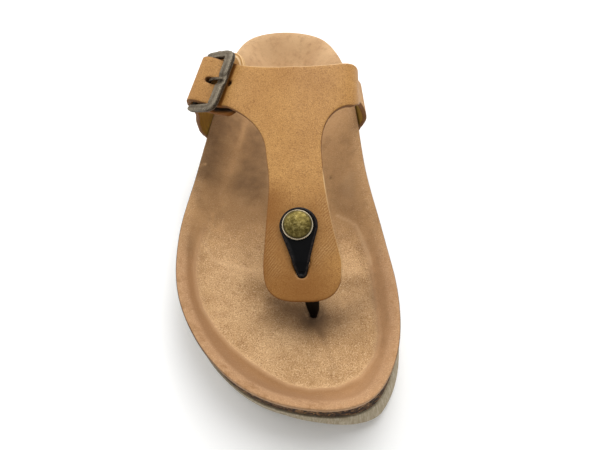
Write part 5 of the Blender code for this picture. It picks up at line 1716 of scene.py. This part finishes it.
# %% The tread's tree
def bar_tree(sizes):
    """Tree that lays one bar on each point; the export needs real faces with their finish."""
    group = bpy.data.node_groups.new("tread", "GeometryNodeTree")
    group.interface.new_socket(name="Geometry", in_out="INPUT", socket_type="NodeSocketGeometry")
    for label, value in sizes.items():
        group.interface.new_socket(name=label, in_out="INPUT",
                                   socket_type="NodeSocketFloat").default_value = value
    group.interface.new_socket(name="Finish", in_out="INPUT", socket_type="NodeSocketMaterial")
    group.interface.new_socket(name="Geometry", in_out="OUTPUT", socket_type="NodeSocketGeometry")
    given = add_node(group, "NodeGroupInput").outputs
    size = add_node(group, "ShaderNodeCombineXYZ", None, {i: given[s] for i, s in enumerate(sizes)})
    block = add_node(group, "GeometryNodeMeshCube", None, {"Size": size.outputs[0]})
    turn = add_node(group, "GeometryNodeInputNamedAttribute", {"data_type": "FLOAT_VECTOR"},
                    {"Name": "turn"})
    laid = add_node(group, "GeometryNodeInstanceOnPoints", None, {
        "Points": given["Geometry"], "Instance": block.outputs["Mesh"],
        "Rotation": turn.outputs["Attribute"]})
    real = add_node(group, "GeometryNodeRealizeInstances", None, {0: laid.outputs[0]})
    painted = add_node(group, "GeometryNodeSetMaterial", None, {
        "Geometry": real.outputs[0], "Material": given["Finish"]})
    add_node(group, "NodeGroupOutput", None, {0: painted.outputs[0]})
    return group


def grown(name, points, turns, group, values):
    """Mesh that a tree makes from a set of points, as a plain object."""
    seed = new_mesh(name + "_points", points)
    attribute = seed.attributes.new("turn", "FLOAT_VECTOR", "POINT")
    attribute.data.foreach_set("vector", np.asarray(turns, np.float32).ravel())
    carrier = new_object(name + "_points", seed)
    modifier = carrier.modifiers.new("growth", "NODES")
    modifier.node_group = group
    for item in group.interface.items_tree:
        if item.in_out == "INPUT" and item.name in values:
            modifier[item.identifier] = values[item.name]
    bpy.context.view_layer.update()
    ready = carrier.evaluated_get(bpy.context.evaluated_depsgraph_get())
    mesh = bpy.data.meshes.new_from_object(ready)
    mesh.name = name
    bpy.data.objects.remove(carrier, do_unlink=True)
    return new_piece(name, mesh)


BARS = dict(zip(("Bar length", "Bar width", "Bar height"), np.multiply(BAR, MM).tolist()))
tread = grown("tread_bars", BAR_CENTRES, BAR_TURNS, bar_tree(BARS),
              {**BARS, "Finish": foam.material})

# %% Plastic finish
plastic = Finish("post_plastic", specular_ior_level=0.12)
place = plastic.place()
scuff = plastic.noise(place, 1.2, 4.0, 0.7)
haze = plastic.noise(place, 6.0, 2.0)
from_edge = plastic.field("from_edge")
# painted highlight on the head's raised rim, broken by scuffs
rim = from_edge.step(0.1, 0.45) * from_edge.step(1.15, 0.8) * scuff.step(0.35, 0.6)
dark = plastic.blend(scuff.step(0.5, 0.8) * 0.5, (4, 4, 5), (14, 14, 15))
plastic.finish(head, stem, base_color=plastic.blend(rim * 0.4, dark, (66, 56, 52)),
               roughness=0.22 + 0.15 * haze, normal=plastic.relief(scuff, 0.02))

# %% Cap finish
brass = Finish("cap_brass", metallic=0.85)
place = brass.place()
radius = brass.field("radius")
tarnish = brass.noise(place, 1.6, 5.0, 0.7, 0.4)
pits = brass.noise(place, 0.45, 3.0, 0.7)
gold = brass.coats(
    brass.ramp(tarnish, (0.3, (60, 50, 18)), (0.5, (116, 101, 48)), (0.7, (170, 154, 96))),
    (pits.step(0.5, 0.65) * 0.65, (44, 38, 12)),
    # painted shade round the dome's foot, and a painted highlight on the rolled lip
    (radius.step(4.8, 5.8) * 0.7, (50, 42, 20)),
    (radius.step(5.85, 6.1), (216, 204, 176)))
brass.finish(cap, base_color=gold, roughness=0.34 + 0.25 * tarnish,
             normal=brass.relief(pits + tarnish, 0.03))

# %% Buckle finish
bronze = Finish("buckle_metal", metallic=0.8)
place = bronze.place()
brushed = bronze.noise(bronze.place((0.15, 1.0, 1.0), pattern=True), 0.5, 3.0)
patina = bronze.noise(place, 4.0, 4.0, 0.65)
specks = bronze.noise(place, 0.4, 3.0, 0.7)
metal = bronze.coats(
    bronze.ramp(patina, (0.3, (86, 76, 62)), (0.55, (116, 104, 86)), (0.75, (134, 122, 104))),
    (specks.step(0.5, 0.7) * 0.5 + brushed.step(0.45, 0.7) * 0.2, (60, 50, 38)),
    # painted shade on the bars' and the prong's flanks, and on the rod near the pivot
    (bronze.field("flank") * 0.75, (44, 34, 24)),
    (bronze.field("corner") * specks.step(0.6, 0.4) * 0.6, (176, 166, 146)))
bronze.finish(frame_bar, prong_eye, prong, base_color=metal, roughness=0.48 + 0.2 * specks,
              normal=bronze.relief(brushed * 0.5 + specks, 0.02))

# %% [markdown]
# ## Floor, light and camera
#
# A pale sheet under the sandal, a soft sky of white light and one large lamp give gentle shadows.
# The camera stands at the toe and looks down on the sandal, near enough for a strong perspective.

# %% Floor
FLOOR_HALF = 3.0  # metres
sheet = [(x * FLOOR_HALF, y * FLOOR_HALF, 0.0) for x, y in ((-1, -1), (1, -1), (1, 1), (-1, 1))]
floor_mesh = bpy.data.meshes.new("floor")
floor_mesh.from_pydata(sheet, [], [(0, 1, 2, 3)])
floor = new_object("floor", floor_mesh)
Finish("floor_paper", roughness=0.9, base_color=(0.93, 0.93, 0.92, 1.0),
       emission_color=(1.0, 1.0, 1.0, 1.0), emission_strength=0.09).finish(floor)

# %% Light
AIM = Vector((0.0, 0.0, 0.02))
SKY_STRENGTH = 0.45
LAMPS = (  # name, place and size in metres, and power in watts
    ("top_light", (0.18, 0.3, 1.05), 0.9, 8.0),
    ("back_light", (0.22, 1.05, 0.7), 0.9, 5.2),
    ("left_light", (-0.75, 0.35, 0.75), 0.8, 3.2),
)
world = bpy.data.worlds.new("studio")
world.use_nodes = True
sky = world.node_tree.nodes["Background"].inputs
sky["Color"].default_value = (1.0, 1.0, 1.0, 1.0)
sky["Strength"].default_value = SKY_STRENGTH
bpy.context.scene.world = world
for name, place, size, power in LAMPS:
    data = bpy.data.lights.new(name, "AREA")
    data.shape = "DISK"
    data.size = size
    data.energy = power
    lamp = new_object(name, data)
    lamp.location = place
    lamp.rotation_euler = (AIM - Vector(place)).to_track_quat("-Z", "Y").to_euler()
bpy.context.scene.view_settings.view_transform = "Standard"
print("lamps:", len(LAMPS))

# %% Camera
PITCH = math.radians(48.22)  # below the horizon
camera_data = bpy.data.cameras.new("camera")
camera_data.lens = 27.6
camera_data.sensor_width = 36.0
camera_data.clip_start = 0.005
camera = new_object("camera", camera_data)
camera.location = (0.00669, -0.19071, 0.1914)
camera.rotation_euler = (math.pi / 2 - PITCH, 0.0, 0.0)
bpy.context.scene.camera = camera
print("camera stands", round(camera.location.z / MM), "mm over the floor")
